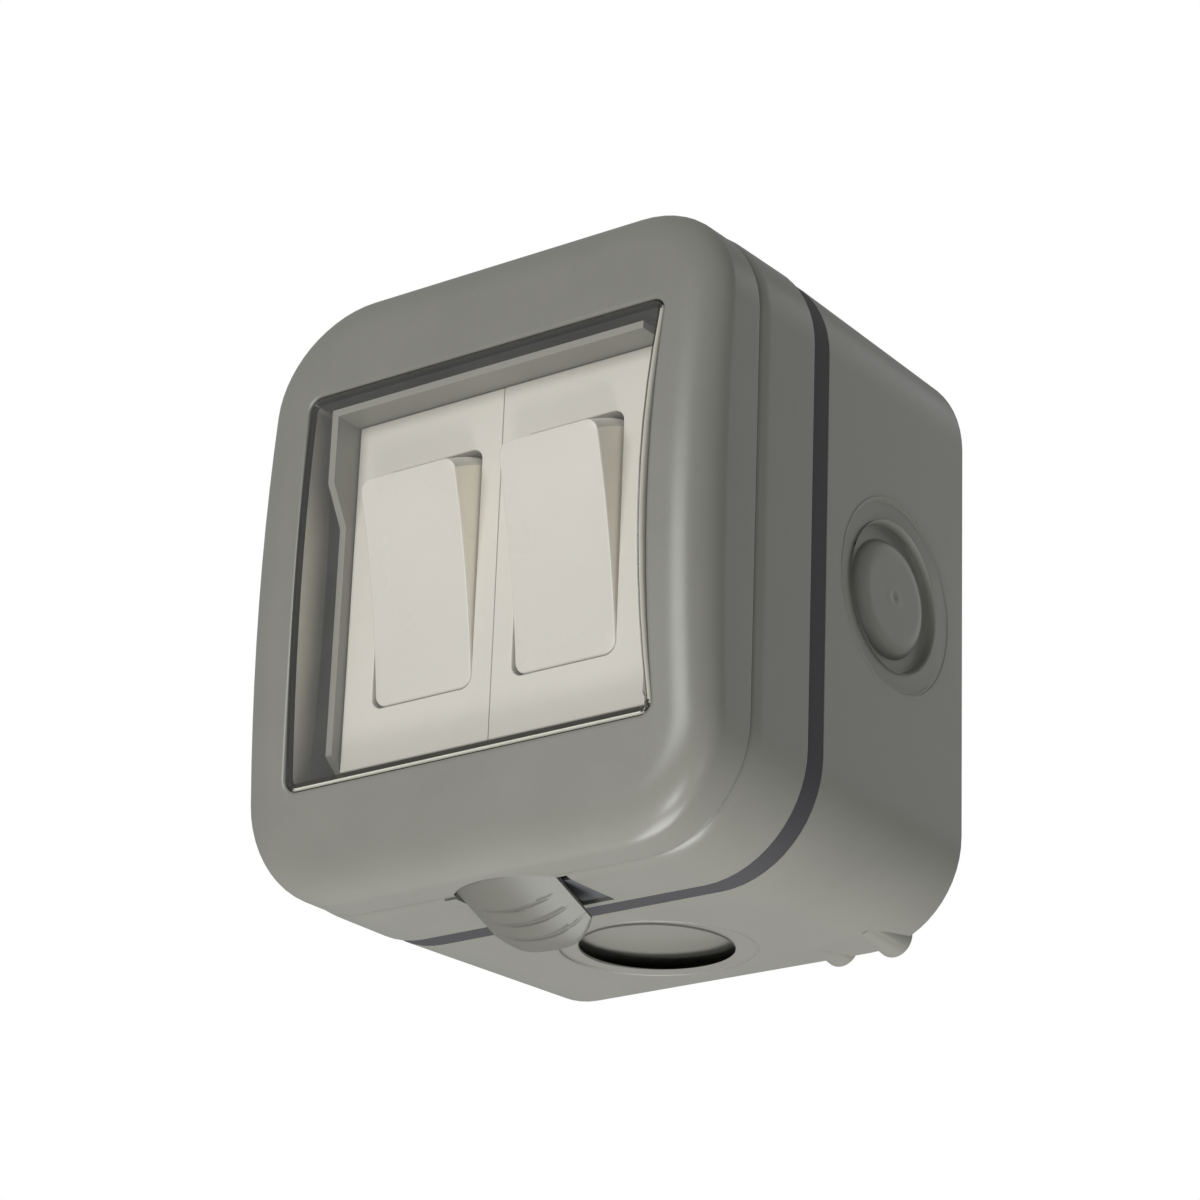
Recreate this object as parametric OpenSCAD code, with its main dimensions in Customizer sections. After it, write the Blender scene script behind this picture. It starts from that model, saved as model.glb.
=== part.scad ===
// Outdoor weatherproof two-gang wall switch: deep box with knock-outs, black gasket, hinged lid with a clear
// membrane and a bottom latch, and two rocker modules on a carrier.
// Frame: +Z up, +X to the right seen from the front, the front faces -Y. The origin is the centre of the
// back face of the box, so the wall is the plane y = 0. All sizes are in millimetres.

/* [Build] */
// Which piece to build ("all" builds the whole object)

/* [Box] */
// Width of the box at its rim
box_width = 86; // [84:0.5:92]
// Height of the box at its rim
box_height = 98; // [96:0.5:104]
// Depth of the box from the wall to its rim
box_depth = 39.8; // [38:0.1:44]
// Corner radius of the box seen from the front
corner_radius = 17.2; // [16.5:0.1:18]
// How much narrower each side is at the wall than at the rim
draft = 1.25; // [0.8:0.05:1.5]
// Wall thickness of the box
box_wall = 2.5; // [2.3:0.1:2.8]
// Radius of the posts that take the carrier screws
post_radius = 4; // [3.6:0.1:4.2]
// Sideways distance between the wall fixing holes
fixing_span_x = 40; // [36:1:42]
// Upright distance between the wall fixing holes
fixing_span_z = 66; // [60:1:68]
// Diameter of the wall fixing holes
fixing_hole = 4.6; // [4.2:0.1:5]
// Radius of the two bosses for drain holes under the box, at the wall
drain_boss_radius = 3.2; // [3:0.1:3.4]
// How far the drain bosses stand below the box at the wall
drain_boss_drop = 1.15; // [1:0.05:1.3]
// Length over which the drain bosses run out
drain_boss_length = 9; // [7:0.5:11]

/* [Knock-outs] */
// Distance of the knock-out centres from the wall
knockout_back = 20.2; // [19:0.1:21]
// Diameter of the shallow seat round a knock-out
seat_diameter = 30; // [29:0.1:31]
// Depth of the seat
seat_depth = 0.4; // [0.3:0.05:0.5]
// Outer diameter of the tear groove
groove_outer = 23.8; // [23:0.1:25]
// Diameter of the disc that is pushed out
disc_diameter = 18.8; // [18:0.1:19.5]
// Depth of the tear groove below the seat
groove_depth = 1.5; // [1.2:0.05:1.6]

/* [Gasket] */
// Height of the gasket between the box rim and the lid
gasket_height = 4.3; // [4:0.05:4.6]
// How far the gasket sits back from the outside of the box
gasket_setback = 0.3; // [0.25:0.05:0.5]
// Width of the gasket band
gasket_width = 2; // [1.8:0.05:2.1]

/* [Lid] */
// How far the lid skirt stands outside the box on each side
lid_overhang = 0.35; // [0.2:0.05:0.4]
// Depth of the lid skirt up to the step line
skirt_depth = 13.7; // [13:0.1:14]
// Width of the shadow groove at the step line
step_groove = 0.5; // [0.4:0.05:0.7]
// Depth of the shadow groove at the step line
step_groove_depth = 0.5; // [0.3:0.05:0.7]
// Depth of the bezel from the step line to the middle of its face
bezel_depth = 12.8; // [12.4:0.05:13]
// How far the face falls back at its top and bottom edges
face_crown = 4; // [3.6:0.1:4.2]
// Sideways reach of the rounded front edge
edge_reach = 6.3; // [6:0.1:6.6]
// Depth of the rounded front edge
edge_drop = 5.4; // [5:0.1:5.6]
// Wall thickness of the lid
lid_wall = 2.4; // [2.2:0.1:2.5]

/* [Window] */
// Half width of the window at its corners
window_half_width = 33.8; // [33.5:0.1:34]
// Half height of the window
window_half_height = 32.2; // [32:0.1:32.5]
// How far the window sides bow inwards at mid height
window_bow = 1.1; // [0.8:0.1:1.3]
// Corner radius of the window
window_radius = 2.4; // [2:0.1:3]
// Thickness of the clear membrane
membrane_thickness = 1; // [0.8:0.05:1.1]
// How far the membrane bulges in front of the lid face
membrane_bulge = 0.9; // [0.8:0.05:1.2]
// Width of the membrane flange behind the lid face
membrane_flange = 3; // [2.6:0.1:3.2]
// Depth of the tunnel of the membrane frame
tunnel_depth = 6.6; // [6:0.1:7]

/* [Hinge] */
// Height of the hinge pin above the top of the box
hinge_rise = 3.4; // [3.3:0.05:3.8]
// Radius of the hinge knuckles
knuckle_radius = 2.9; // [2.6:0.05:2.9]
// Radius of the hinge pin
hinge_pin_radius = 1.25; // [1.1:0.05:1.4]
// Half length of the box knuckle
box_knuckle_half = 12; // [10:0.5:13]
// Length of each lid knuckle
lid_knuckle = 8; // [7:0.5:9]

/* [Latch] */
// Half width of the latch
latch_half_width = 8.8; // [8.5:0.1:9]
// Radius of the rounded back of the latch, seen along it
latch_round = 20; // [18:0.5:24]
// Radius of the latch pin
latch_pin_radius = 1; // [0.9:0.05:1.1]
// How far the tip of the latch stands below the lid
latch_drop = 6.1; // [6:0.05:6.2]
// Width of a grip groove in the latch
grip_groove = 0.55; // [0.4:0.05:0.7]
// Number of grip grooves
grip_count = 3; // [2:1:3]
// Distance between the grip grooves
grip_pitch = 2.9; // [2.6:0.1:3]

/* [Modules] */
// Half width of the opening that takes both modules
modules_half_width = 28.2; // [28:0.05:28.3]
// How much lower than the window the modules are, at the top and at the bottom
module_margin = 4; // [3.9:0.05:4.2]
// Distance of each rocker centre from the middle
rocker_offset = 13.2; // [13:0.05:13.3]
// Half width of the rocker opening
well_half_width = 9.45; // [9.3:0.05:9.5]
// Half height of the rocker opening
well_half_height = 19.2; // [19.15:0.05:19.6]
// Wall thickness of the module fronts
module_wall = 1.8; // [1.5:0.1:2]
// Height of the carrier wall above the modules and of its left cheek beside the upper half of the rockers
cheek_high = 5.2; // [4.6:0.1:5.3]
// Height of the left cheek beside the lower half of the rockers
cheek_low = 1.8; // [1.4:0.1:2.2]
// Height of the right cheek
cheek_right = 0.8; // [0.6:0.1:1.2]
// Thickness of the carrier side cheeks
cheek_wall = 1.2; // [1.1:0.05:1.4]

/* [Rockers] */
// Tilt of the rocker each side of level
rocker_tilt = 11.3; // [10.8:0.1:11.3]
// Half length of the rocker face
rocker_half_length = 17.6; // [17.4:0.05:17.7]
// Height of the rocker face above its pivot at the ends
rocker_rise = 8.4; // [8.2:0.05:8.4]
// Fall of the rocker face to its middle
rocker_dish = 0.85; // [0.7:0.05:1]
// Radius of the rocker pivots
trunnion_radius = 1.6; // [1.5:0.05:1.7]
// Radius of the plunger
plunger_radius = 1.9; // [1.8:0.05:1.95]
// Wire radius of the plunger spring
spring_wire = 0.25; // [0.2:0.01:0.3]
// Turns of the plunger spring
spring_turns = 6; // [5:1:7]

/* [Contacts] */
// Half length of the moving contact
contact_half_length = 13; // [12.6:0.1:13.2]
// Bend of each contact arm
contact_bend = 12; // [11.5:0.1:12.5]
// Tilt of the moving contact at rest
contact_tilt = 6; // [5.6:0.1:6.2]
// Side of a terminal block
terminal_side = 8; // [7.4:0.1:8]
// Radius of the wire hole in a terminal block
wire_hole = 1.9; // [1.7:0.05:2]

/* [Fits] */
// Radial clearance of pins and shafts
running_clearance = 0.05; // [0.04:0.01:0.08]
// Gap between pieces that are put together by hand
fit_gap = 0.15; // [0.12:0.01:0.2]
// Radius of the carrier screw shanks
carrier_screw = 1.55; // [1.4:0.05:1.6]
// Radius of the small screws in the lid and terminals
small_screw = 1.1; // [1:0.05:1.2]

/* [Hidden] */
$fn = 48;
eps = 0.01;
hw = box_width / 2;
hh = box_height / 2;
// Stations along the depth, from the wall forwards
y_rim = -box_depth;
y_gasket = y_rim - gasket_height;
y_lid = y_gasket - 0.05;
y_step = y_lid - skirt_depth;
y_bezel = y_step - step_groove;
y_face = y_step - bezel_depth;
// Lid outlines
skirt_w = hw + lid_overhang;
skirt_h = hh + lid_overhang;
bezel_w = skirt_w - 0.2;
bezel_h = skirt_h - 0.2;
lid_radius = corner_radius + lid_overhang;
// Back of the lid face, where the membrane flange sits
y_seat = y_face + 4.5;
y_clamp = y_seat + 1.2;
// Bosses for the screws of the membrane frame, and the plate of that frame
boss_x = window_half_width - 5.8;
boss_z = window_half_height + membrane_flange + 3.4;
clamp_w = window_half_width + membrane_flange + 0.5;
clamp_h = boss_z + 2.3;
clamp_plate = 2.2;
frame_screw_reach = 4;
y_frame = y_clamp + clamp_plate;
// Hinge axis
hinge_y = y_rim - 2.2;
hinge_z = hh + hinge_rise;
// Latch axis and latch surface line
latch_y = y_step + 0.05;
latch_z = -skirt_h + 3.45;
latch_front = y_step - 3.9;
latch_slope = 23.2;
grip_start = 5.9;
latch_tip_radius = 10.4;
latch_lug_gap = 0.5;
latch_lug_reach = 3.3;
// Modules
modules_half_height = window_half_height - module_margin;
base_half_width = 11;
base_half_height = 21;
y_plate = y_face + 7.5;
y_ledge = y_plate + 11.1;
y_flange = y_rim - 1.8;
pivot_y = y_plate + 5.4;
tube_rear = y_ledge;
base_rear = y_ledge + 16;
tower_rear = base_rear + 9;
fulcrum_y = pivot_y + 13.2;
plunger_ball = 11;
// Silver buttons of the moving contact and the terminals behind them
button_place = 11.5;
button_radius = 1.6;
button_height = 0.55;
terminal_pitch = 12.6;
post_x = hw - corner_radius + 4.7;
post_z = hh - corner_radius + 4.7;

// Cylinder along Y from the nearer station a to the farther one b
module ycyl(x, z, r, a, b, r2 = -1, n = 48) {
    translate([x, b, z])
        rotate([90, 0, 0])
            cylinder(h = b - a, r1 = r2 < 0 ? r : r2, r2 = r, $fn = n);
}

// Cylinder along X
module xcyl(y, z, r, a, b, n = 48) {
    translate([a, y, z])
        rotate([0, 90, 0])
            cylinder(h = b - a, r = r, $fn = n);
}

module block(x0, x1, y0, y1, z0, z1) {
    translate([x0, y0, z0])
        cube([x1 - x0, y1 - y0, z1 - z0]);
}

// Plate with rounded corners seen from the front
module slab(w, h, r, a, b) {
    block(-w + r, w - r, a, b, -h, h);
    block(-w, w, a, b, -h + r, h - r);
    for (sx = [-1, 1])
        for (sz = [-1, 1])
            ycyl(sx * (w - r), sz * (h - r), r, a, b, n = 64);
}

// Tapered box body: half sizes w, h and radius r at the rim a, smaller by the draft at the wall b
module taper(w, h, r, a, b, d) {
    hull()
        for (sx = [-1, 1])
            for (sz = [-1, 1])
                ycyl(sx * (w - r), sz * (h - r), r, a, b, r - d, 64);
}

// Right half of a bowed rounded outline, from the top to the bottom
function half_ring(w, h, r, bow, n, m) = concat(
    [for (i = [0:n]) let(t = 90 - 90 * i / n) [w - r + r * cos(t), h - r + r * sin(t)]],
    [for (i = [1:m - 1]) let(z = (h - r) * (1 - 2 * i / m)) [w, z]],
    [for (i = [0:n]) let(t = -90 * i / n) [w - r + r * cos(t), -h + r + r * sin(t)]]);
function bowed(p, h, bow) = [p[0] - bow * (1 - pow(p[1] / h, 2)), p[1]];
function flip(list) = [for (i = [len(list) - 1:-1:0]) [-list[i][0], list[i][1]]];
function full_ring(w, h, r, bow = 0, n = 10, m = 8) =
    let(a = [for (p = half_ring(w, h, r, bow, n, m)) bowed(p, h, bow)]) concat(a, flip(a));
// Ring of the outline set at depth y, falling back by c at the edge height e
function deep_ring(ring, y, c, e) = [for (p = ring) [p[0], y + c * pow(p[1] / e, 2), p[1]]];

// Solid through rings of equal length, the first at the rear and the last at the front
module loft(rings) {
    n = len(rings[0]);
    k = len(rings);
    points = [for (r = rings) for (p = r) p];
    sides = [for (j = [0:k - 2]) for (i = [0:n - 1]) for (t = [0, 1])
        let(a = j * n + i, b = j * n + (i + 1) % n)
        t == 0 ? [a, b, a + n] : [b, b + n, a + n]];
    rear = [for (i = [0:n / 2 - 2]) [i, n - 1 - i, n - 2 - i, i + 1]];
    top = (k - 1) * n;
    front = [for (i = [0:n / 2 - 2]) [top + i, top + i + 1, top + n - 2 - i, top + n - 1 - i]];
    polyhedron(points = points, faces = concat(sides, rear, front), convexity = 6);
}

// Outer form of the bezel: straight sides, rounded edge and a face crowned in height
module bezel_form() {
    span = bezel_depth - step_groove;
    start = y_face + edge_drop;
    loft(concat(
        [deep_ring(full_ring(bezel_w, bezel_h, lid_radius), y_bezel, 0, bezel_h)],
        [for (t = [0:10:90])
            let(s = edge_reach * (1 - cos(t)), y = start - edge_drop * sin(t))
            deep_ring(full_ring(bezel_w - s, bezel_h - s, lid_radius - s), y,
                      face_crown * (y_bezel - y) / span, bezel_h)]));
}

function window_ring(o) = full_ring(window_half_width + o, window_half_height + o, window_radius + o,
                                    window_bow, 5, 12);

// Prism on the window outline moved out by o
module window_prism(o, a, b) {
    loft([deep_ring(window_ring(o), b, 0, 1), deep_ring(window_ring(o), a, 0, 1)]);
}

// Turned cutter of one knock-out, with its axis along +Z and its origin on the wall surface
module knockout_cut() {
    r1 = disc_diameter / 2;
    r2 = groove_outer / 2;
    r3 = seat_diameter / 2;
    low = -seat_depth - groove_depth;
    rotate_extrude($fn = 64)
        polygon([[0, 1], [0, -seat_depth - 0.5], [0.6, -seat_depth], [r1 - 1.1, -seat_depth],
                 [r1 - 0.3, -seat_depth - 0.4], [r1, -seat_depth - 1], [r1 + 0.2, low], [r2 - 0.3, low],
                 [r2, -seat_depth], [r3, -seat_depth], [r3 + 0.1, 1]]);
}

module knockouts() {
    lean = atan(draft / box_depth);
    mid = draft * (1 - knockout_back / box_depth);
    for (s = [-1, 1]) {
        translate([s * (hw - mid), -knockout_back, 0])
            rotate([0, 0, s * lean])
                rotate([0, s * 90, 0])
                    knockout_cut();
        translate([0, -knockout_back, s * (hh - mid)])
            rotate([s * -lean, 0, 0])
                rotate([s > 0 ? 0 : 180, 0, 0])
                    knockout_cut();
    }
}

// Arm that joins a hinge knuckle to a foot between the stations a and b
module hinge_arm(x0, x1, a, b, zfoot) {
    hull() {
        xcyl(hinge_y, hinge_z, knuckle_radius, x0, x1, 32);
        block(x0, x1, a, b, zfoot, zfoot + 1);
    }
}

module back_box() color("#8a8a85") {
    difference() {
        union() {
            difference() {
                taper(hw, hh, corner_radius, y_rim, 0, draft);
                taper(hw - box_wall, hh - box_wall, corner_radius - box_wall, y_rim - eps, -box_wall, draft);
            }
            // carrier posts
            for (sx = [-1, 1])
                for (sz = [-1, 1])
                    ycyl(sx * post_x, sz * post_z, post_radius, y_flange, -1, post_radius + 0.3);
            // collars of the wall fixings
            for (sx = [-1, 1])
                for (sz = [-1, 1])
                    ycyl(sx * fixing_span_x / 2, sz * fixing_span_z / 2, fixing_hole / 2 + 2, -6, -1);
            // catch tongue for the latch
            block(-7, 7, y_rim, y_rim + 6, -hh + 1.8, -hh + 5.4);
            block(-7, 7, y_rim - 10, y_rim + 1, -hh + gasket_setback + gasket_width + 0.3, -hh + 5.4);
            block(-6, 6, y_rim - 9.2, y_rim - 7.3, -hh + 1.8, -hh + 3.5);
            // bosses for drain holes, closed as delivered
            for (x = [20, 29.6])
                ycyl(x, -hh + draft + drain_boss_radius - drain_boss_drop, drain_boss_radius * 0.6,
                     -drain_boss_length, 0, drain_boss_radius);
            // cradle of the earth terminal
            block(-27, -15, -8, -1, -20, -8);
            hinge_arm(-box_knuckle_half, box_knuckle_half, y_rim + eps, y_rim + 4,
                      hh - gasket_setback + 0.05);
        }
        knockouts();
        xcyl(hinge_y, hinge_z, hinge_pin_radius + running_clearance, -box_knuckle_half - 1,
             box_knuckle_half + 1);
        for (sx = [-1, 1])
            for (sz = [-1, 1]) {
                ycyl(sx * post_x, sz * post_z, carrier_screw + running_clearance, y_flange - 1, y_flange + 16);
                ycyl(sx * fixing_span_x / 2, sz * fixing_span_z / 2, fixing_hole / 2, -7, 1);
            }
        // pocket of the earth terminal
        block(-25 - fit_gap / 2, -17 + fit_gap / 2, -9, -3, -18 - fit_gap / 2, -10 + fit_gap / 2);
    }
}

module box_gasket() color("#3c3c40") {
    o = gasket_setback;
    i = gasket_setback + gasket_width;
    difference() {
        slab(hw - o, hh - o, corner_radius - o, y_gasket, y_rim);
        slab(hw - i, hh - i, corner_radius - i, y_gasket - 1, y_rim + 1);
    }
}

// Footprint of the latch in the bottom of the lid, grown by g
module latch_footprint(g) {
    arc = 11.9 + g;
    intersection() {
        translate([0, latch_front + 11.9])
            circle(r = arc, $fn = 64);
        translate([-latch_half_width - g, latch_front - 3])
            square([2 * (latch_half_width + g), y_step - latch_front + 5]);
    }
}

module lid() color("#868681") {
    cav_w = skirt_w - lid_wall;
    cav_h = skirt_h - lid_wall;
    notch = latch_half_width + 2.2;
    difference() {
        union() {
            slab(skirt_w, skirt_h, lid_radius, y_step, y_lid);
            slab(skirt_w - 0.2 - step_groove_depth, skirt_h - 0.2 - step_groove_depth,
                 lid_radius - 0.2 - step_groove_depth, y_bezel - 0.5, y_step + 0.5);
            bezel_form();
            for (s = [-1, 1])
                hinge_arm(s > 0 ? box_knuckle_half + 0.3 : -box_knuckle_half - 0.3 - lid_knuckle,
                          s > 0 ? box_knuckle_half + 0.3 + lid_knuckle : -box_knuckle_half - 0.3,
                          y_lid - 8, y_lid - 0.6, hh - gasket_setback + 0.05);
        }
        // hollow of the skirt and of the bezel
        difference() {
            slab(cav_w, cav_h, lid_radius - lid_wall, y_face + 7.2, y_lid + 1);
            // lugs of the latch pin
            for (s = [-1, 1])
                block(s > 0 ? latch_half_width + latch_lug_gap : -latch_half_width - latch_lug_reach,
                      s > 0 ? latch_half_width + latch_lug_reach : -latch_half_width - latch_lug_gap,
                      latch_y - 2.6, latch_y + 2.3, -skirt_h, latch_z + 2.6);
        }
        difference() {
            slab(clamp_w + 0.3, clamp_h + 0.3, 8, y_seat, y_face + 7.3);
            for (sx = [-1, 1])
                for (sz = [-1, 1])
                    ycyl(sx * boss_x, sz * boss_z, 3, y_seat - 1, y_clamp);
        }
        window_prism(0, y_face - 2, y_seat + 2);
        for (sx = [-1, 1])
            for (sz = [-1, 1])
                ycyl(sx * boss_x, sz * boss_z, small_screw + running_clearance,
                     y_frame - frame_screw_reach - 0.4, y_clamp + 1);
        // latch pocket: a narrow mouth, a wider inside and the side window
        translate([0, 0, -skirt_h - 1])
            linear_extrude(1.65)
                latch_footprint(0.4);
        translate([0, 0, -skirt_h + 0.6])
            linear_extrude(3.1)
                latch_footprint(1.5);
        block(-notch, notch, y_step + 1.8, y_lid - 1.5, -skirt_h - 1, -cav_h + 1);
        // shallow run-out of the side window up to the step line
        block(-notch, notch, y_step + 0.5, y_step + 2, -skirt_h - 1, -skirt_h + 1.2);
        // relief behind the bar, so that it clears the catch
        block(-notch, notch, y_lid - 2, y_lid + 1, -skirt_h + 1.4, -cav_h + 1);
        xcyl(latch_y, latch_z, latch_pin_radius + running_clearance, -14, 14);
        for (s = [-1, 1])
            xcyl(hinge_y, hinge_z, hinge_pin_radius + running_clearance, s > 0 ? box_knuckle_half : -30,
                 s > 0 ? 30 : -box_knuckle_half);
    }
}

module window_membrane() color([0.85, 0.88, 0.88, 0.35]) {
    g = 0.08;
    t = membrane_thickness;
    edge = window_half_height;
    fall = face_crown * pow(edge / bezel_h, 2) + membrane_bulge - 0.1;
    y0 = y_face - membrane_bulge;
    difference() {
        loft([deep_ring(window_ring(-g), y_seat + 1.15, 0, 1),
              deep_ring(window_ring(-g), y0 + 0.9, fall, edge),
              deep_ring(window_ring(-g - 0.3), y0 + 0.25, fall, edge),
              deep_ring(window_ring(-g - 1), y0, fall, edge)]);
        loft([deep_ring(window_ring(-g - t), y_seat + 2, 0, 1),
              deep_ring(window_ring(-g - t), y0 + t, fall, edge)]);
    }
    difference() {
        slab(window_half_width + membrane_flange, window_half_height + membrane_flange, 4, y_seat,
             y_seat + 1.15);
        window_prism(-g - t, y_seat - 1, y_seat + 2);
    }
}

module membrane_frame() color("#7d7d78") {
    y_back = y_clamp + tunnel_depth;
    difference() {
        union() {
            slab(clamp_w, clamp_h, 7, y_clamp, y_frame);
            slab(window_half_width + 1.4, window_half_height + 1.4, 3.5, y_clamp, y_back);
        }
        slab(window_half_width - 0.3, window_half_height - 0.3, 2, y_clamp - 1, y_back + 1);
        for (sx = [-1, 1])
            for (sz = [-1, 1])
                ycyl(sx * boss_x, sz * boss_z, small_screw + fit_gap, y_clamp - 1, y_frame + 1);
    }
}

// Pan-head screw along Y with its head at the station y, its shank towards -Y or +Y (dir) and a cross slot
module screw(x, z, y, dir, shank, reach, head, thick) {
    s = dir;
    difference() {
        union() {
            ycyl(x, z, head, s > 0 ? y - thick : y, s > 0 ? y : y + thick);
            ycyl(x, z, shank, s > 0 ? y - eps : y - reach, s > 0 ? y + reach : y + eps);
        }
        for (a = [0, 90])
            translate([x, s > 0 ? y - thick : y + thick, z])
                rotate([0, a, 0])
                    cube([head * 1.2, thick * 1.1, 0.7], center = true);
    }
}

module frame_screws() color("#b8b8b4") {
    for (sx = [-1, 1])
        for (sz = [-1, 1])
            screw(sx * boss_x, sz * boss_z, y_frame, -1, small_screw, frame_screw_reach, 2.2, 1.3);
}

module hinge_pin() color("#b8b8b4") {
    reach = box_knuckle_half + lid_knuckle + 0.3;
    xcyl(hinge_y, hinge_z, hinge_pin_radius, -reach, reach);
}

// Side form of the latch: a sloped grip with a rounded tip, the pivot boss and the hook
module latch() color("#8f8f89") {
    y1 = y_lid - 0.9;
    // underside of the lid at the latch, and the lowest point of the tip
    z0 = -skirt_h;
    low = -skirt_h - latch_drop;
    difference() {
        union() {
            intersection() {
                // sloped grip plate, seen from the side
                translate([-latch_half_width, 0, 0])
                    rotate([90, 0, 90])
                        linear_extrude(2 * latch_half_width)
                            polygon([[latch_front, z0 + 0.35], [latch_front + 1, z0 + 1.3],
                                     [latch_y + 3, z0 + 0.6], [y_lid - 3.4, low + 3.7],
                                     [y1 + 0.9, low + 2.5], [y1 + 1.5, low + 1.5],
                                     [y1 + 1, low + 0.5], [y1 - 1.2, low], [y1 - 3.2, low + 0.2]]);
                // rounded back
                translate([0, latch_front, -skirt_h + 0.35])
                    rotate([90 - latch_slope, 0, 0])
                        translate([0, latch_round, -40])
                            cylinder(h = 80, r = latch_round, $fn = 128);
                // outline seen from below
                translate([0, 0, -skirt_h - 10])
                    linear_extrude(20)
                        union() {
                            translate([-latch_half_width, latch_y])
                                square([2 * latch_half_width, 8]);
                            intersection() {
                                translate([-latch_half_width, latch_y])
                                    square([2 * latch_half_width, 30]);
                                translate([0, y1 + 1.5 - latch_tip_radius])
                                    circle(r = latch_tip_radius, $fn = 96);
                            }
                            translate([0, 0])
                                latch_footprint(0);
                        }
            }
            // pivot boss and the web that joins it to the grip
            xcyl(latch_y, latch_z, latch_pin_radius + 1.3, -latch_half_width + 0.8, latch_half_width - 0.8);
            block(-latch_half_width + 4.2, latch_half_width - 4.2, latch_y - 1.2, latch_y + 2.2,
                  -skirt_h - 0.6, latch_z);
            // hook that snaps behind the catch
            block(-5.5, 5.5, y_rim - 7.1, y_rim - 6.15, -skirt_h - 3.3, -hh + 1.35);
        }
        xcyl(latch_y, latch_z, latch_pin_radius + running_clearance, -latch_half_width, latch_half_width);
        // grip grooves
        for (i = [0:grip_count - 1])
            translate([0, latch_front, -skirt_h + 0.35])
                rotate([-latch_slope, 0, 0])
                    translate([0, (grip_start + i * grip_pitch) / cos(latch_slope), 0])
                        rotate([90, 0, 0])
                            translate([0, latch_round, -grip_groove / 2])
                                difference() {
                                    cylinder(h = grip_groove, r = latch_round + 1, $fn = 96);
                                    cylinder(h = grip_groove, r = latch_round - 0.45, $fn = 96);
                                    for (s = [-1, 1])
                                        translate([s * (latch_half_width + 8.8), -latch_round, 0])
                                            cube([20, 12, 3], center = true);
                                    translate([-30, -12, -1])
                                        cube([60, 60, 3]);
                                }
    }
}

module latch_pin() color("#b8b8b4") {
    xcyl(latch_y, latch_z, latch_pin_radius, -latch_half_width - latch_lug_reach,
         latch_half_width + latch_lug_reach);
}

// Carrier: flange on the posts, a raised well for the modules, a ledge under them and the side cheeks
module carrier() color("#7f7f79") {
    w = modules_half_width + fit_gap;
    h = modules_half_height + fit_gap;
    y_low = y_plate - cheek_low;
    y_high = y_plate - cheek_high;
    difference() {
        union() {
            slab(hw - 4.7, hh - 6, corner_radius - 4.7, y_flange - 2, y_flange);
            block(-w - cheek_wall, w + cheek_wall, y_high, y_flange, -h - cheek_wall, h + cheek_wall);
        }
        // upper space in front of the ledge
        block(-w, w, y_high - 1, y_ledge, -h, h);
        // openings for the module bases
        for (s = [-1, 1])
            block(s * rocker_offset - base_half_width - 0.3, s * rocker_offset + base_half_width + 0.3,
                  y_ledge - 1, y_flange + 1, -base_half_height - 0.3, base_half_height + 0.3);
        // space behind the ledge
        block(-w + 1, w - 1, y_ledge + 1.6, y_flange + 1, -h + 1, h - 1);
        // the cheeks step down beside the lower half of the rockers
        translate([-w - 5, 0, 0])
            rotate([90, 0, 90])
                linear_extrude(2 * w + 10)
                    polygon([[y_high - 1, 17.6], [y_high, 17.3], [y_low, 11], [y_low, -h + 2.5],
                             [y_plate + 1.2, -h], [y_plate + 2.4, -h - 5], [y_high - 1, -h - 5]]);
        // the right cheek is low over its whole length
        block(w - 1, w + 5, y_high - 1, y_plate - cheek_right, -h - 5, h);
        for (sx = [-1, 1])
            for (sz = [-1, 1])
                ycyl(sx * post_x, sz * post_z, carrier_screw + fit_gap, y_flange - 3, y_flange + 1);
    }
}

module carrier_screws() color("#b8b8b4") {
    for (sx = [-1, 1])
        for (sz = [-1, 1])
            screw(sx * post_x, sz * post_z, y_flange - 2, 1, carrier_screw, 15, 2.9, 1.8);
}

module earth_terminal() color("#c9a24a") {
    difference() {
        block(-25, -17, -10.5, -3, -18, -10);
        xcyl(-8.2, -14, wire_hole, -26, -16, 32);
        ycyl(-21, -14, small_screw + running_clearance, -11, -7);
    }
}

module earth_screw() color("#b8b8b4") {
    screw(-21, -14, -10.6, 1, small_screw, 3, 2, 1.2);
}

// White front of one module: plate with side walls, opening, well walls and pivot bearings
module module_front(s) {
    x0 = 0.05;
    x1 = modules_half_width - 0.05;
    cx = rocker_offset;
    h = modules_half_height;
    t = module_wall;
    scale([s, 1, 1])
        difference() {
            union() {
                difference() {
                    block(x0, x1, y_plate, y_ledge, -h, h);
                    block(x0 + 1.2, x1 - 1.2, y_plate + t, y_ledge + 1, -h + t, h - t);
                }
                block(cx - well_half_width - 1.6, cx + well_half_width + 1.6, y_plate + 0.9, y_ledge,
                      -well_half_height - 1.6, well_half_height + 1.6);
            }
            translate([cx, 0, 0])
                slab(well_half_width, well_half_height, 1.9, y_plate - 1, y_ledge + 1);
            xcyl(pivot_y, 0, trunnion_radius + running_clearance, cx - well_half_width - 1.5,
                 cx + well_half_width + 1.5);
        }
}

module module_front_left() color("#e4e1d6") module_front(-1);
module module_front_right() color("#e4e1d6") module_front(1);

// Places a child that is drawn about the rocker pivot, with +Z along the face and -Y outwards
module on_rocker(s) {
    translate([s * rocker_offset, pivot_y, 0])
        rotate([rocker_tilt, 0, 0])
            children();
}

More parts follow.
